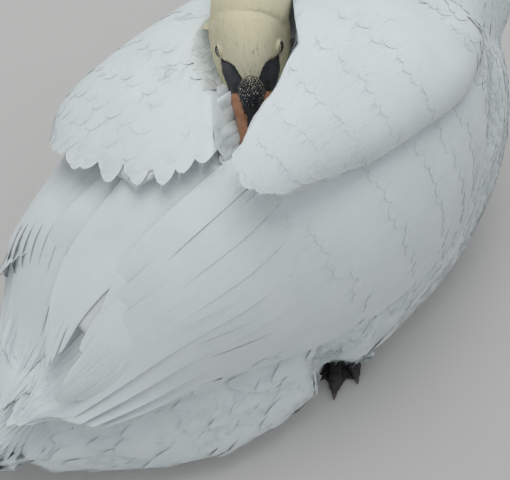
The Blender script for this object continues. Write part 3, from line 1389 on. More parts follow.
def opening_edge(phi):
    """Angles along and over the eye at the edge of its almond opening."""
    c, s = np.cos(phi), np.sin(phi)
    return OPENING[0] * np.sign(c) * np.abs(c) ** 0.92, OPENING[1] * np.sign(s) * np.abs(s) ** 1.35


def eye(side, eye_skin, lid_skin):
    look, ahead, above = eye_axes(side)
    centre = eye_centre(side)
    word = SIDES[side]
    a, b = ball_angles(40, 48)
    direction = (look * np.cos(a)[..., None] + ahead * (np.sin(a) * np.cos(b))[..., None]
                 + above * (np.sin(a) * np.sin(b))[..., None])
    swell = 0.35 * smooth(0.75, 0.3, a) * np.ones_like(b)
    rings = centre + direction * (EYE_RADIUS - 0.35 + swell)[..., None]
    ends = [centre + look * EYE_RADIUS, centre - look * (EYE_RADIUS - 0.35)]
    ring = np.concatenate([(a * np.ones_like(b)).ravel(), [0.0, np.pi]])
    solid_tube(f"eyeball_{word}", rings, ends, "eye", eye_skin, f"eye_{word}", floats={"ring": ring})

    # The rim of the lids: a thin black roll round the opening that runs out under the feathers.
    phi = np.linspace(0, 2 * np.pi, 96, endpoint=False)
    along, over = opening_edge(phi)
    reach = np.array([0.0, 0.2, 0.45, 0.8, 1.15, 1.7, 3.2])  # mm out from the edge
    height = np.array([-0.25, 0.25, 0.62, 0.78, 0.60, 0.10, -1.6])  # mm off the eyeball's radius
    size = np.hypot(along, over)
    rings = []
    for out, high in zip(reach, height):
        grow = 1 + out / EYE_RADIUS / size
        p, q = along * grow, over * grow
        d = unit(look * (np.cos(p) * np.cos(q))[:, None] + ahead * (np.sin(p) * np.cos(q))[:, None]
                 + above * np.sin(q)[:, None])
        rings.append(centre + d * (EYE_RADIUS + high))
    rings = np.array(rings)
    verts = from_head(rings.reshape(-1, 3))
    faces = facing_out(verts, [grid_faces(len(reach), len(phi), closed=True)], from_head(centre))
    ob = make_mesh(f"lids_{word}", verts, faces)
    finish_piece(ob, "bill_black", lid_skin)


upper_bill()
lower_bill()
knob()
nail()
eye_skin, lid_skin = eye_shader(), lid_shader()
for side in (-1, 1):
    lores(side)
    eye(side, eye_skin, lid_skin)

head_guide = head_sheet()


def feathered(p):
    """True where the head has feathers: off the bare skin, the lids' rims and the bill."""
    keep = lore_share(p) < -0.1
    for side in (-1, 1):
        share, outward = opening_share(p, side)
        keep &= ~((share < 1.2) & (outward > 0.3))
    keep &= ~((p[:, 0] > 36.5) & (p[:, 2] > -17)) & (p[:, 0] < 46)
    return keep


centres = head_guide.verts[head_guide.faces].mean(1)
local = to_head(centres)
inside_neck = nearest_node(centres) != FLESH.index("head")
chosen = feathered(local) & ~(inside_neck & (local[:, 0] < -30)) & (local[:, 0] > -26)
gap = np.interp(local[:, 0], [-60, -20, 5, 22, 36], [1.15, 0.98, 0.84, 0.70, 0.62]) * MM
points, gaps = roots_on(head_guide, chosen, gap)
clear = feathered(to_head(points))
points, gaps = points[clear], gaps[clear]
local = to_head(points)
reach = gaps * np.interp(local[:, 0], [-40, 10, 34], [8.0, 7.0, 4.6])
for side in (-1, 1):  # feathers in front of an eye stop short of its opening
    share, outward = opening_share(local, side)
    shorter = (outward > 0.3) & (local[:, 0] > EYE_PLACE[0])
    reach = np.where(shorter, np.minimum(reach, 0.3 * MM + np.maximum(share - 1.1, 0) * 4.5 * MM), reach)
coat = Coat("coat_head")
places = to_head(face_centres)
nape = ((face_kinds == HEAD_PART) | (face_kinds == NECK_PART)) & (places[:, 0] < -22) & (places[:, 0] > -64)
nape &= np.linalg.norm(places * [0, 1, 1], axis=1) < 62
rear, rear_gaps = roots_on(guide, nape, np.interp(places[:, 0], [-64, -22], [1.35, 1.0]) * MM)
short_feathers(coat, guide, rear, rear_gaps * 8.0, rear_gaps * 0.76, HEAD_PART)
short_feathers(coat, head_guide, points, reach, np.minimum(gaps * 0.74, 0.0003 + reach * 0.25), HEAD_PART)
coat.build("plumage", plumage, softness=0.9)


def knob_tufts():
    """Tiny white feathers that stray from the forehead's point down over the knob."""
    size = (60, 80)
    surface = knob_surface(0.1, *size)
    verts = from_head(surface)
    normals = unit(verts - from_head(surface * [1, 0, 0] + [0, 0, KNOB["z"]]))
    sheet = Sheet(verts, grid_faces(*size, closed=True), normals, -unit(np.gradient(verts, axis=0)))
    p = to_head(sheet.verts[sheet.faces].mean(1))
    chosen = (p[:, 2] > KNOB["z"] - 1) & (p[:, 0] < 60)
    gap = np.interp(p[:, 0], [28, 33, 38, 46, 54, 60], [0.62, 0.8, 1.15, 1.5, 2.1, 3.4]) * MM
    points, _ = roots_on(sheet, chosen, gap)
    coat = Coat("coat_knob")
    small = rng.uniform(0.35, 0.95, len(points)) * MM
    swing = rng.normal(0, 0.5, len(points))
    coat.locks(sheet, points, small * 1.6, small * 0.36, depth=0.2, lift=0.35, swing=swing)
    coat.build("plumage", plumage, softness=0.5)


knob_tufts()


# ---- Wings ---------------------------------------------------------------------------------------
def edge_room(tract, u, v, low, high):
    """How far each place is, along the face, from where v is low and from where it is high."""
    shares = np.linspace(0, 1, 9)
    rooms = []
    for to, sign in ((low, -1), (high, 1)):
        vs = v[..., None] + (to - v)[..., None] * shares
        line = tract.at(np.broadcast_to(u[..., None], vs.shape), vs)
        rooms.append(np.linalg.norm(np.diff(line, axis=-2), axis=-1).sum(-1) * np.sign(sign * (to - v)))
    return rooms


def row_coat(coat, tract, starts, ends, half, kind, steps, across, edges=(0.0, 1.0), draw=0.5, **options):
    """Vanes from one (u, v) to another on a tract, kept within its edges. Draw: how far in from the tract's
    edges they are drawn, by half their width."""
    half = np.asarray(half, float) * MM
    starts, ends = np.array(starts, float), np.array(ends, float)
    if draw:
        starts, ends = inside_edges(tract, starts, half * draw), inside_edges(tract, ends, half * draw)
    s = np.linspace(0, 1, steps + 1)[None]
    u = starts[:, :1] + (ends[:, :1] - starts[:, :1]) * s
    v = starts[:, 1:] + (ends[:, 1:] - starts[:, 1:]) * s
    spine = tract.at(u, v)
    _, normals, _ = tract.settle(spine)
    headings = unit(np.gradient(spine, axis=1))
    low, high = edge_room(tract, u, v, *edges)
    lateral = np.cross(normals, headings)
    up = ((tract.at(u, v + 0.01) - tract.at(u, v)) * lateral).sum(-1) > 0
    spare = rng.uniform(0.0002, 0.0012, (len(half), 1))
    low, high = np.maximum(low, 0) + spare, np.maximum(high, 0) + spare
    room = np.stack([np.where(up, low, high), np.where(up, high, low)], -1)
    coat.vanes(tract, spine, normals, headings, half, kind, across=across, part=WING, room=room, **options)


def inside_edges(tract, uv, half):
    """The same places drawn in from the tract's two edges by this much."""
    u, v = uv.T
    low, high = 0.1, 0.9
    across = tract.at(u, np.full_like(u, high)) - tract.at(u, np.full_like(u, low))
    span = np.linalg.norm(across, axis=-1) / 0.8
    edge = np.minimum(half / span, 0.46)
    drawn = edge + np.clip(v, 0, 1) * (1 - 2 * edge)
    return np.stack([u, np.where((v < 0) | (v > 1), v, drawn)], -1)


def covert_rows(coat, tract, rows, side, shape):
    """Rows of coverts, from the rear row forward. Each: tip u at inner and outer edge, length in u,
    how many, from v to v, half width in mm."""
    for tip_in, tip_out, reach, count, v0, v1, half in rows:
        v = np.linspace(v0, v1, count) + rng.uniform(-0.3, 0.3, count) * (v1 - v0) / count
        tip = tip_in + (tip_out - tip_in) * v + rng.uniform(-0.008, 0.008, count)
        starts = np.stack([tip - reach, v - 0.02], -1)
        ends = np.stack([tip, v + rng.uniform(-0.01, 0.01, count)], -1)
        row_coat(coat, tract, starts, ends, np.full(count, half), "covert", steps=8, across=9, depth=2.2,
                 shallow=0.55, lift=0.12, tilt=0.006 * side, camber=0.06, ragged=0.004, fringe=26,
                 fringe_reach=0.06, rachis=0.12, shape=shape, uneven=0.06)


def lining(coat, tract, start, ends, v_range, depth, shape=None):
    """A closed layer deep in the tract, seen only between the vanes over it. Ends: its last u over v."""
    share, v = np.meshgrid(np.linspace(0, 1, 40), np.linspace(*v_range, 24), indexing="ij")
    u = start + (np.interp(v, *ends) - start) * share
    face = tract.at(u, v)
    _, normals, _ = tract.settle(face)
    points = face - normals * depth * MM
    if shape:
        points = shape(points)
    points, normals = points.reshape(-1, 3), normals.reshape(-1, 3)
    faces = grid_faces(*v.shape)
    if (face_turns(points, faces) * normals[faces[:, 0]]).sum() < 0:
        faces = faces[:, ::-1]
    n = len(points)
    coat.take(points, [faces], normals, np.full(n, 0.5), np.full(n, 0.5), np.zeros(n),
              bake_place(points, np.full(n, WING)), np.zeros(n))


def right_of_head(points):
    return aside(below_head(points))


def wing(side, rows, secondaries, lined, inner=()):
    """The folded wing's long feathers and coverts. Lined: how far back its lining goes, as u over v."""
    tract = Tract(rows, side, v_range=(-0.25, 1.1))
    shape = right_of_head if side < 0 else below_head
    # Secondaries, outermost and lowest first, then the vanes of the inner edge.
    flights = Coat(f"secondaries_{SIDES[side]}")
    lining(flights, tract, 0.3, lined, (0.03, 1.0), 1.9, shape)
    count = len(secondaries)
    for k, (u0, v0, u1, v1, half) in enumerate((*secondaries, *inner)):
        edge = -0.05 if k < count else -0.2
        row_coat(flights, tract, [(u0, v0)], [(u1, v1)], [half], "long", steps=18, across=9,
                 edges=(edge, 1.01), depth=2.4, shallow=max(2.0 - 1.5 * k / count, 0.3), lift=0.05,
                 tilt=0.02 * side, camber=0.03, ragged=0.003, rachis=0.3, wave=0.15, double=True,
                 fringe=22, fringe_reach=0.012, shape=shape, draw=0.5 if k < count else 0)
    flights.build("flight_feather", flight_plumage, softness=0.35)

    coverts = Coat(f"coverts_{SIDES[side]}")
    covert_rows(coverts, tract, [
        (0.66, 0.60, 0.22, 15, 0.10, 0.99, 17),
        (0.56, 0.50, 0.18, 18, 0.05, 1.0, 15),
        (0.47, 0.42, 0.14, 20, 0.02, 1.0, 14),
        (0.40, 0.36, 0.11, 24, 0.0, 1.0, 12),
        (0.345, 0.31, 0.09, 28, 0.0, 1.0, 10.5),
        (0.295, 0.27, 0.08, 32, 0.0, 1.0, 9.5),
    ], side, shape)
    coverts.build("plumage", plumage, softness=0.5)


# Each vane: u and v at its root and at its tip, and half its width in mm.
SECONDARIES_RIGHT = [
    (0.40, 0.97, 0.64, 1.0, 20), (0.40, 0.93, 0.70, 1.0, 21), (0.40, 0.88, 0.76, 0.99, 22),
    (0.40, 0.82, 0.81, 0.97, 23), (0.40, 0.75, 0.86, 0.94, 24), (0.40, 0.67, 0.90, 0.90, 24),
    (0.40, 0.58, 0.94, 0.84, 25), (0.39, 0.49, 0.97, 0.74, 26), (0.38, 0.40, 0.99, 0.58, 27),
    (0.37, 0.31, 1.00, 0.38, 27), (0.36, 0.22, 0.95, 0.24, 26), (0.35, 0.13, 0.86, 0.14, 24),
    (0.34, 0.06, 0.76, 0.08, 22),
]
SECONDARIES_LEFT = [
    (0.40, 0.93, 0.945, 0.93, 24), (0.40, 0.84, 0.96, 0.86, 24), (0.40, 0.74, 0.97, 0.78, 25),
    (0.40, 0.64, 0.97, 0.70, 25), (0.40, 0.55, 0.965, 0.60, 26), (0.39, 0.47, 0.94, 0.52, 27),
    (0.38, 0.39, 0.91, 0.43, 27), (0.37, 0.31, 0.88, 0.34, 26), (0.36, 0.22, 0.84, 0.24, 25),
    (0.35, 0.13, 0.80, 0.14, 24), (0.34, 0.06, 0.74, 0.08, 22),
]
wing(-1, WING_RIGHT, SECONDARIES_RIGHT, ([0, 0.14, 0.24, 0.38, 0.58, 0.78, 0.90, 0.97, 1],
                                         [0.60, 0.74, 0.83, 0.88, 0.88, 0.85, 0.80, 0.70, 0.56]),
     [(0.34, 0.05, 0.90, 0.07, 12), (0.34, 0.02, 0.93, 0.01, 11), (0.34, -0.02, 0.95, -0.04, 10),
      (0.34, -0.06, 0.93, -0.09, 9), (0.34, -0.10, 0.90, -0.13, 9)])
wing(1, WING_LEFT, SECONDARIES_LEFT, ([0, 0.14, 0.9, 0.97, 1], [0.60, 0.72, 0.74, 0.70, 0.56]))


def scapulars(side, rows, rows_of, fingers, tips, shape):
    """Rows of scapulars, rear row first: u at root and tip, how many, half width in mm; then single vanes, as
    the secondaries are given. Tips: the furthest u over v."""
    tract = Tract(rows, side, v_range=(-0.35, 1.12))
    coat = Coat(f"scapular_feathers_{SIDES[side]}")

    def lay(start, end, half, edges=(0.0, 1.0), draw=0.5):
        row_coat(coat, tract, start, end, half, "covert", steps=10, across=9, depth=2.4, lift=0.12,
                 shallow=0.6, tilt=0.008 * side, camber=0.06, ragged=0.004, fringe=34,
                 fringe_reach=0.045, rachis=0.15, shape=shape, edges=edges, draw=draw, uneven=0.06)

    for u0, u1, count, half in rows_of:
        v = np.linspace(0, 1, count) + rng.uniform(-0.2, 0.2, count) / count
        v = np.clip(v, 0, 1)
        tip = np.minimum(u1, np.interp(v, *tips)) + rng.uniform(-0.012, 0.012, count)
        base = np.minimum(u0, tip - 0.26)
        end = np.stack([tip, v + rng.uniform(-0.02, 0.02, count)], -1)
        lay(np.stack([base, v], -1), end, np.full(count, half))
    for u0, v0, u1, v1, half in fingers:
        lay([(u0, v0)], [(u1, v1)], [half], edges=(-0.3, 1.0), draw=0)
    coat.build("plumage", plumage, softness=0.45)


scapulars(-1, SCAPULARS_RIGHT_VANES, [
    (0.62, 1.0, 6, 19), (0.52, 0.92, 7, 19), (0.42, 0.81, 9, 18), (0.33, 0.69, 10, 18), (0.25, 0.57, 11, 16),
    (0.18, 0.46, 12, 14), (0.12, 0.34, 12, 13),
], [
    (0.24, -0.02, 0.58, -0.05, 14), (0.18, -0.05, 0.50, -0.12, 14), (0.12, -0.08, 0.44, -0.18, 14),
    (0.08, -0.12, 0.38, -0.24, 14), (0.04, -0.12, 0.32, -0.24, 13),
], ([0, 0.2, 0.45, 0.62, 0.74, 0.85, 1], [0.93, 0.97, 0.94, 0.87, 0.76, 0.66, 0.55]), lobe_outline)
scapulars(1, SCAPULARS_LEFT_VANES, [
    (0.60, 0.97, 9, 20), (0.52, 0.88, 10, 20), (0.44, 0.78, 11, 20), (0.36, 0.68, 12, 19),
    (0.28, 0.58, 13, 17), (0.20, 0.48, 14, 15), (0.13, 0.38, 14, 13),
], [
    (0.60, 0.40, 0.97, 0.34, 15), (0.54, 0.30, 0.90, 0.12, 14), (0.48, 0.22, 0.82, 0.02, 13),
    (0.42, 0.17, 0.75, -0.04, 12), (0.36, 0.13, 0.68, -0.06, 12), (0.31, 0.10, 0.61, -0.07, 11),
    (0.27, 0.08, 0.54, -0.07, 11), (0.42, 0.10, 0.68, -0.01, 13), (0.37, 0.05, 0.62, -0.09, 13),
    (0.32, 0.00, 0.57, -0.15, 13), (0.27, -0.05, 0.52, -0.19, 12), (0.22, -0.08, 0.47, -0.21, 12),
    (0.17, -0.08, 0.41, -0.20, 12),
], ([0, 0.1, 0.35, 0.7, 0.9, 1], [0.8, 0.88, 0.95, 0.93, 0.86, 0.80]), below_head)

# Inner vanes of the left wing that close the back under the right one.
flights = Coat("tertials_inner")
between = Tract(BETWEEN, 1, v_range=(-0.2, 1.2))
lining(flights, between, 0.0, ([0, 1], [0.62, 0.66]), (-0.1, 0.98), 1.4, below_head)
for k, v in enumerate(np.linspace(0.98, 0.02, 8)):
    row_coat(flights, between, [(0.0, v)], [(0.74 - 0.04 * (1 - v), v)], [13.5], "long", steps=14, across=7,
             depth=1.0, shallow=0.9 - 0.1 * k, lift=0.05, camber=0.04, ragged=0.004, rachis=0.3, draw=0.3,
             edges=(-0.1, 1.1), double=True, fringe=18, fringe_reach=0.012, shape=below_head)
flights.build("flight_feather", flight_plumage, softness=0.35)


def primaries(side, rows):
    """The folded primaries, a fan of long vanes that lie over each other from the outside in."""
    tract = Tract(rows, side, v_range=(-0.25, 1.1))
    coat = Coat(f"primaries_{SIDES[side]}_vanes")
    lining(coat, tract, -0.05, ([0, 1], [0.86, 0.62]), (-0.06, 0.98), 1.6)
    count = 12
    for k in range(count):
        f = k / (count - 1)
        start = (-0.05, 0.98 - 1.0 * f)
        end = (0.66 + 0.33 * f, 0.96 - 0.80 * f)
        row_coat(coat, tract, [start], [end], [15.0 - 3 * f], "long", steps=18, across=9, depth=2.0,
                 shallow=1.4 - 1.2 * f, lift=0.1, tilt=0.04 * side, camber=0.05, ragged=0.003, rachis=0.45,
                 double=True, edges=(-0.08, 1.01), draw=0, fringe=20, fringe_reach=0.015)
    coat.build("flight_feather", flight_plumage, f"primaries_{SIDES[side]}", softness=0.3)


primaries(-1, PRIMARIES_RIGHT)
primaries(1, PRIMARIES_LEFT)


def tertials(side, primary_rows, vanes):
    """Long vanes that run down off the folded wing over its primaries. Each: the tract it starts on and the u
    and v there, u and v on the primaries at its tip, half width in mm."""
    lower = Tract(primary_rows, side, v_range=(-0.25, 1.1))
    coat = Coat(f"tertials_{SIDES[side]}")
    on = 0.14 if side > 0 else 0.11  # how far along the wing, in u, one knot is from the next
    for k, (upper, u0, v0, u1, v1, half) in enumerate(vanes):
        high = 1.6 + 0.30 * k
        knots, ups = [], []
        for tract, u, v, off in (
                (upper, u0, v0, high), (upper, u0 + on, v0, high), (upper, u0 + 2 * on, v0, high),
                (lower, 0.62 * u1, 0.35 * v0 + 0.65 * v1, 10.0), (lower, 0.82 * u1, v1, 4.0 + 0.3 * k),
                (lower, u1, v1, 1.5 + 0.2 * k)):
            place = tract.at(np.array([u]), np.array([v]))
            over_primaries = unit(np.array([side * 0.3, 0.15, 0.94]))
            normal = tract.settle(place)[1][0] if tract is upper else over_primaries
            knots.append(place[0] + normal * off * MM)
            ups.append(normal)
        s = np.linspace(0, 1, 29)
        spine = through(np.array(knots), s)[None]
        headings = unit(np.gradient(spine, axis=1))
        normals = unit(through(np.array(ups), s))[None]
        normals = unit(normals - headings * (normals * headings).sum(-1, keepdims=True))
        coat.vanes(upper, spine, normals, headings, np.array([half * MM]), "long", across=9, depth=3.4,
                   shallow=0.0, lift=0.05, camber=0.10, ragged=0.003, rachis=0.4, fringe=26,
                   fringe_reach=0.012, part=WING, settle=False, double=True, wave=0.3)
    coat.build("flight_feather", flight_plumage, softness=0.25)


left_tract, right_tract = Tract(WING_LEFT, 1), Tract(WING_RIGHT, -1)
tertials(1, PRIMARIES_LEFT, [
    (left_tract, 0.60, 0.66, 0.60, 0.97, 18), (left_tract, 0.60, 0.58, 0.70, 0.90, 18),
    (left_tract, 0.58, 0.50, 0.78, 0.80, 18), (left_tract, 0.56, 0.42, 0.86, 0.68, 18),
    (left_tract, 0.54, 0.34, 0.93, 0.56, 18), (left_tract, 0.52, 0.26, 0.98, 0.43, 18),
    (left_tract, 0.50, 0.18, 0.99, 0.30, 18), (left_tract, 0.48, 0.10, 0.95, 0.17, 17),
    (between, 0.36, 0.74, 0.92, 0.22, 17), (between, 0.36, 0.60, 0.90, 0.10, 17),
    (between, 0.36, 0.46, 0.86, 0.02, 17), (between, 0.36, 0.30, 0.80, -0.06, 16),
])
tertials(-1, PRIMARIES_RIGHT, [
    (right_tract, 0.48, 0.84, 0.70, 0.93, 17), (right_tract, 0.49, 0.74, 0.78, 0.80, 18),
    (right_tract, 0.50, 0.62, 0.86, 0.66, 18), (right_tract, 0.51, 0.50, 0.91, 0.50, 18),
    (right_tract, 0.50, 0.38, 0.88, 0.34, 18), (right_tract, 0.48, 0.26, 0.80, 0.18, 17),
    (right_tract, 0.46, 0.14, 0.72, 0.04, 16),
])


# ---- Tail ------------------------------------------------------------------------------------
TAIL_VANES = 18


def tail_point(u, v):
    """A place on the tail's crowned fan: u runs to its tip, v across it."""
    across = 2 * v - 1
    reach = 1 - 0.36 * across ** 2
    y = TAIL["root"] + (TAIL["tip"] - TAIL["root"]) * u * reach
    uc = np.clip(u, 0, 1.1)
    width = TAIL["half"] * (0.72 + 0.34 * uc - 0.5 * uc ** 3)
    z = TAIL["root_z"] + (TAIL["tip_z"] - TAIL["root_z"]) * u - 16 * across ** 2 * (1 - 0.5 * u)
    return np.stack([TAIL["lean"] * u * u + width * across, y, z], -1) * MM


def tail_sheet():
    u, v = np.meshgrid(np.linspace(-0.25, 1.12, 40), np.linspace(-0.15, 1.15, 40), indexing="ij")
    verts = tail_point(u, v)
    normals = unit(np.cross(np.gradient(verts, axis=1), np.gradient(verts, axis=0)))
    normals *= np.sign(normals[..., 2:3])
    return Sheet(verts, grid_faces(*u.shape), normals, unit(np.gradient(verts, axis=0)))


def tail():
    sheet = tail_sheet()
    coat = Coat("tail_vanes")
    order = sorted(np.linspace(0.03, 0.97, TAIL_VANES), key=lambda v: -abs(v - 0.5))
    for k, v in enumerate(order):
        s = np.linspace(0, 1, 13)[None]
        places = tail_point(-0.1 + 1.08 * s, 0.5 + (v - 0.5) * (0.55 + 0.45 * s))
        _, normals, _ = sheet.settle(places)
        coat.vanes(sheet, places, normals, unit(np.gradient(places, axis=1)), np.array([0.0125]), "flight",
                   across=5, depth=3.0, shallow=2.4 - 2 * k / TAIL_VANES, lift=0.1, ragged=0.008, camber=0.02,
                   rachis=0.3, double=True, settle=False, part=TRUNK)
    coat.build("flight_feather", flight_plumage, "tail", softness=0.3)


tail()


# ---- Feet and legs ---------------------------------------------------------------------------------
FOOT_LOW = 0.4  # no part of a foot is nearer the floor, in mm
CLAW_FROM = 0.885  # the share of a toe at which its claw starts
WEB_REACH = (0.93, 0.09)  # how far the web reaches along the toes, and how much less between them
RIDGE_GAP = 2.3  # mm between the folds across the web
FOOT_BLACK, FOOT_GREY = (0.010, 0.009, 0.009), (0.030, 0.027, 0.025)
FOOT_CREST, FOOT_DUST = (0.060, 0.055, 0.050), (0.095, 0.080, 0.066)
CLAW_BLACK, CLAW_GREY, CLAW_TIP = (0.016, 0.014, 0.013), (0.060, 0.050, 0.042), (0.16, 0.135, 0.11)


def foot_shader():
    sh = Shader("foot", roughness=0.46)
    place = sh.object_place()
    tone = sh.mottle(place, 160.0, 4.0, 0.3, 0.72, FOOT_BLACK, FOOT_GREY)
    dust = sh.ramp(sh.noise(place, 420.0, 3.0), 0.60, 0.78, 0.0, 0.30)
    crest = sh.ramp(sh.attribute("crest"), 0.2, 0.9, 0.0, 0.55)
    tone = sh.mix(crest, tone, FOOT_CREST)
    sh.colour(sh.mix(dust, tone, FOOT_DUST))
    scales = sh.noise(place, 1300.0, 2.0)
    sh.bump(sh.math("ADD", scales, sh.math("MULTIPLY", sh.noise(place, 3200.0, 1.0), 0.4)), 0.4, 0.0004)
    return sh.material


def claw_shader():
    sh = Shader("claw", roughness=0.34)
    place = sh.object_place()
    horn = sh.mottle(place, 500.0, 3.0, 0.35, 0.7, CLAW_BLACK, CLAW_GREY)
    sh.colour(sh.mix(sh.ramp(sh.attribute("reach"), 0.55, 1.0, 0.0, 0.6), horn, CLAW_TIP))
    sh.bump(sh.noise(place, 1600.0, 3.0), 0.25, 0.0003)
    return sh.material


class Solids:
    """Gathers closed forms, in millimetres, into one piece."""

    def __init__(self, name):
        self.name, self.verts, self.faces, self.values, self.total = name, [], [], [], 0

    def take(self, verts, faces, values):
        verts = verts.copy()
        verts[:, 2] = np.maximum(verts[:, 2], FOOT_LOW)
        self.faces += [f + self.total for f in facing_out(verts, faces)]
        self.verts.append(verts)
        self.values.append(values)
        self.total += len(verts)

    def tube(self, points, radii, around, relief, values=None):
        """A tube along points. Relief gives mm out of the wall at shares along it and angles round it."""
        count = len(points)
        ahead = unit(np.gradient(points, axis=0))
        side = unit(np.cross(ahead, [0.0, 0.0, 1.0]))
        over = np.cross(side, ahead)
        angle = np.linspace(0, 2 * np.pi, around, endpoint=False)[None]
        share = np.linspace(0, 1, count)[:, None]
        out = radii[:, None] + relief(share, angle)
        rings = (points[:, None] + side[:, None] * (np.cos(angle) * out)[..., None]
                 + over[:, None] * (np.sin(angle) * out * 0.86)[..., None])
        verts = np.concatenate([rings.reshape(-1, 3), points[:1] - ahead[:1] * radii[0] * 0.6,
                                points[-1:] + ahead[-1:] * radii[-1] * 0.6])
        worth = np.broadcast_to((values or relief)(share, angle), (count, around))
        self.take(verts, tube_faces(count, around), np.concatenate([worth.ravel(), [0.0, 1.0]]))

    def slab(self, top, bottom, worth):
        """A closed plate between two grids of points of one size."""
        rows, columns = top.shape[:2]
        n = rows * columns
        verts = np.concatenate([top.reshape(-1, 3), bottom.reshape(-1, 3)])
        faces = grid_faces(rows, columns)
        rim = np.concatenate([np.arange(columns), columns * np.arange(1, rows) + columns - 1,
                              n - 2 - np.arange(columns - 1), columns * np.arange(rows - 2, 0, -1)])
        after = np.roll(rim, -1)
        sides = np.stack([rim, after, after + n, rim + n], -1)
        low = faces[:, ::-1] + n
        if face_turns(verts, faces)[:, 2].sum() < 0:
            faces, low = faces[:, ::-1], low[:, ::-1]
        else:
            sides = sides[:, ::-1]
        verts[:, 2] = np.maximum(verts[:, 2], FOOT_LOW)
        self.faces += [f + self.total for f in (faces, low, sides)]
        self.verts.append(verts)
        self.values.append(np.concatenate([worth.ravel(), np.zeros(n)]))
        self.total += len(verts)

    def build(self, slot, material, value_name, *replaced):
        ob = make_mesh(self.name, np.concatenate(self.verts) * MM, by_width(self.faces),
                       floats={value_name: np.concatenate(self.values)})
        return finish_piece(ob, slot, material, *replaced)


def toe_line(angle, length, side, shares):
    c, s = math.cos(math.radians(angle)), math.sin(math.radians(angle))
    drop = np.where(shares > 0.85, -25 * (shares - 0.85), 0.0)
    return np.stack([side * (ANKLE[0] + c * length * shares), ANKLE[1] + s * length * shares,
                     10 - 3 * shares + drop], -1)


def scutes(count, deep):
    """Overlapping plates across the upper side of a toe or leg, and a fine net of scales beneath."""
    def relief(share, angle):
        saw = (share * count) % 1.0
        plate = deep * (0.5 - saw) * smooth(-0.15, 0.45, np.sin(angle))
        net = 0.5 * deep * np.sin(share * count * 6.3) * np.sin(angle * 9) * smooth(0.3, -0.3, np.sin(angle))
        return plate + net
    return relief


def claw_groove(share, angle):
    """The groove under a claw."""
    return -0.35 * np.exp(-((angle - 4.71) / 0.35) ** 2) * (1 - share)


def foot(side, skin_material, claw_material):
    word = SIDES[side]
    solids = Solids(f"foot_{word}_skin")
    claws = Solids(f"claws_{word}")
    for angle, length, radius in TOES:
        shares = np.linspace(0, CLAW_FROM + 0.02, 90)
        line = toe_line(angle, length, side, shares)
        radii = radius * np.interp(shares, [0, 0.2, 0.5, 0.8, 0.9, 1], [1.3, 1.05, 0.9, 0.9, 0.6, 0.16])
        joints = sum(0.10 * np.exp(-((shares - at) / 0.035) ** 2) for at in (0.36, 0.60, 0.80))
        radii = radii * (0.94 + joints)
        solids.tube(line, radii, 28, scutes(34, 0.55))
        shares = np.linspace(CLAW_FROM - 0.03, 1.0, 26)
        line = toe_line(angle, length, side, shares)
        bend = np.linspace(0, 1, 26)
        line[:, 2] += 2.6 * np.sin(bend * np.pi) * bend
        radii = radius * 0.50 * (1 - bend) ** 0.62 + 0.25
        claws.tube(line, radii, 20, claw_groove, values=lambda share, angle: share + 0 * angle)
    # The web between the toes, with its fine folds.
    u, v = np.meshgrid(np.linspace(0, 1, 96), np.linspace(0, 1, 84), indexing="ij")
    first, last = TOES[0], TOES[-1]
    angle = np.radians(first[0] + (last[0] - first[0]) * v)
    length = first[1] + (last[1] - first[1]) * v + 12 * np.sin(np.pi * v)
    reach = length * (WEB_REACH[0] - WEB_REACH[1] * np.sin(2 * np.pi * v) ** 2)
    out = 8 + (reach - 8) * u
    sag = np.sin(2 * np.pi * v) ** 2
    bend = 0.8 * np.sin(v * 9 + 1.0) + 0.5 * np.sin(v * 23)
    wave = np.sin(2 * np.pi * (out + bend * 1.4) / RIDGE_GAP)
    ridge = 0.42 * np.sign(wave) * np.abs(wave) ** 0.7 * smooth(0.0, 0.2, sag) + 0.35 * np.sin(v * 61) * sag
    z = 10 - 3 * u - 2.4 * sag * u - 1.0 + ridge
    x, y = side * (ANKLE[0] + np.cos(angle) * out), ANKLE[1] + np.sin(angle) * out
    top = np.stack([x, y, z], -1)
    thick = 2.4 - 1.1 * u
    bottom = np.stack([x, y, z - thick - 0.6 * ridge], -1)
    edge = smooth(0.985, 1.0, u) * 0.5
    top[..., 2] -= edge * thick
    solids.slab(top, bottom, np.clip(0.5 + 0.5 * wave, 0, 1) * smooth(0.0, 0.2, sag))
    solids.build("foot", skin_material, "crest", f"foot_{word}")
    claws.build("claw", claw_material, "reach")


def leg(side, skin_material):
    word = SIDES[side]
    solids = Solids(f"leg_{word}_skin")
    shares = np.linspace(0, 0.9, 110)
    line = np.array(HOCK, float) + (np.array(ANKLE, float) - HOCK) * shares[:, None]
    line[:, 0] *= side
    radii = np.interp(shares, [0, 0.3, 0.6, 0.88, 0.9], [13, 11, 9.5, 9.5, 9.3])
    solids.tube(line, radii * 0.985, 40, scutes(36, 0.5))
    solids.build("foot", skin_material, "crest", f"leg_{word}")


foot_skin, claw_horn = foot_shader(), claw_shader()
for side in SIDES:
    foot(side, foot_skin, claw_horn)
    leg(side, foot_skin)


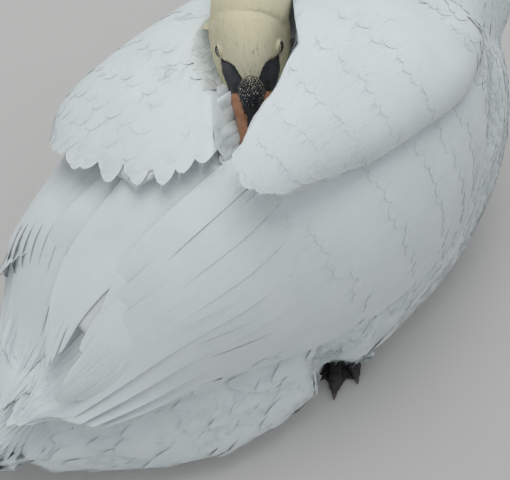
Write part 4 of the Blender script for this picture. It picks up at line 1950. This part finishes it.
# ---- Camera, light and floor -------------------------------------------------------------------
PHOTO_WIDTH = 510  # in pixels
FOCAL = 800  # in pixels, by a fit to the photo
CAMERA_AT = (-353.6, 308.8, 835.0)
CAMERA_LOOKS = (0.3812, -0.3681, -0.848)
SENSOR = 36.0
WORLD = ((0.93, 0.96, 1.0, 1.0), 0.45)  # colour and strength
LIGHTS = [  # name, place, target, size, power, colour
    ("key", (0.6, -0.4, 2.3), (0, 0, 0.1), 2.0, 19, (1.0, 0.995, 0.98)),
    ("fill", (-1.6, 1.4, 1.7), (0, 0, 0.15), 2.0, 3.5, (0.93, 0.97, 1.0)),
]
FLOOR_REACH, FLOOR_DROP = 6, 0.0005  # half its side, and how far it is below the bird, in metres
FLOOR_TONES = (0.62, 0.61, 0.59), (0.66, 0.65, 0.63)


def add_camera():
    camera = bpy.data.cameras.new("camera")
    camera.sensor_width = SENSOR
    camera.lens = FOCAL * SENSOR / PHOTO_WIDTH
    camera.clip_end = 50
    ob = bpy.data.objects.new("camera", camera)
    ob.location = Vector(CAMERA_AT) * MM
    ob.rotation_mode = "QUATERNION"
    ob.rotation_quaternion = Vector(CAMERA_LOOKS).to_track_quat("-Z", "Y")
    scene.collection.objects.link(ob)
    scene.camera = ob


def add_light(name, place, target, size, energy, colour):
    light = bpy.data.lights.new(name, "AREA")
    light.shape = "DISK"
    light.size = size
    light.energy = energy
    light.color = colour
    ob = bpy.data.objects.new(name, light)
    ob.location = place
    ob.rotation_mode = "QUATERNION"
    ob.rotation_quaternion = (Vector(target) - Vector(place)).to_track_quat("-Z", "Y")
    scene.collection.objects.link(ob)


def studio():
    world = bpy.data.worlds.new("studio")
    scene.world = world
    world.use_nodes = True
    background = world.node_tree.nodes["Background"]
    background.inputs["Color"].default_value, background.inputs["Strength"].default_value = WORLD
    for light in LIGHTS:
        add_light(*light)
    scene.view_settings.view_transform = "Standard"
    g = np.linspace(-FLOOR_REACH, FLOOR_REACH, 24)
    x, y = np.meshgrid(g, g, indexing="ij")
    verts = np.stack([x, y, np.full_like(x, -FLOOR_DROP)], -1).reshape(-1, 3)
    floor = make_mesh("floor", verts, [grid_faces(*x.shape)[:, ::-1]])
    sh = Shader("floor", roughness=0.85)
    sh.colour(sh.mix(sh.noise(sh.object_place(), 3.0), *FLOOR_TONES))
    floor.data.materials.append(sh.material)


add_camera()
studio()
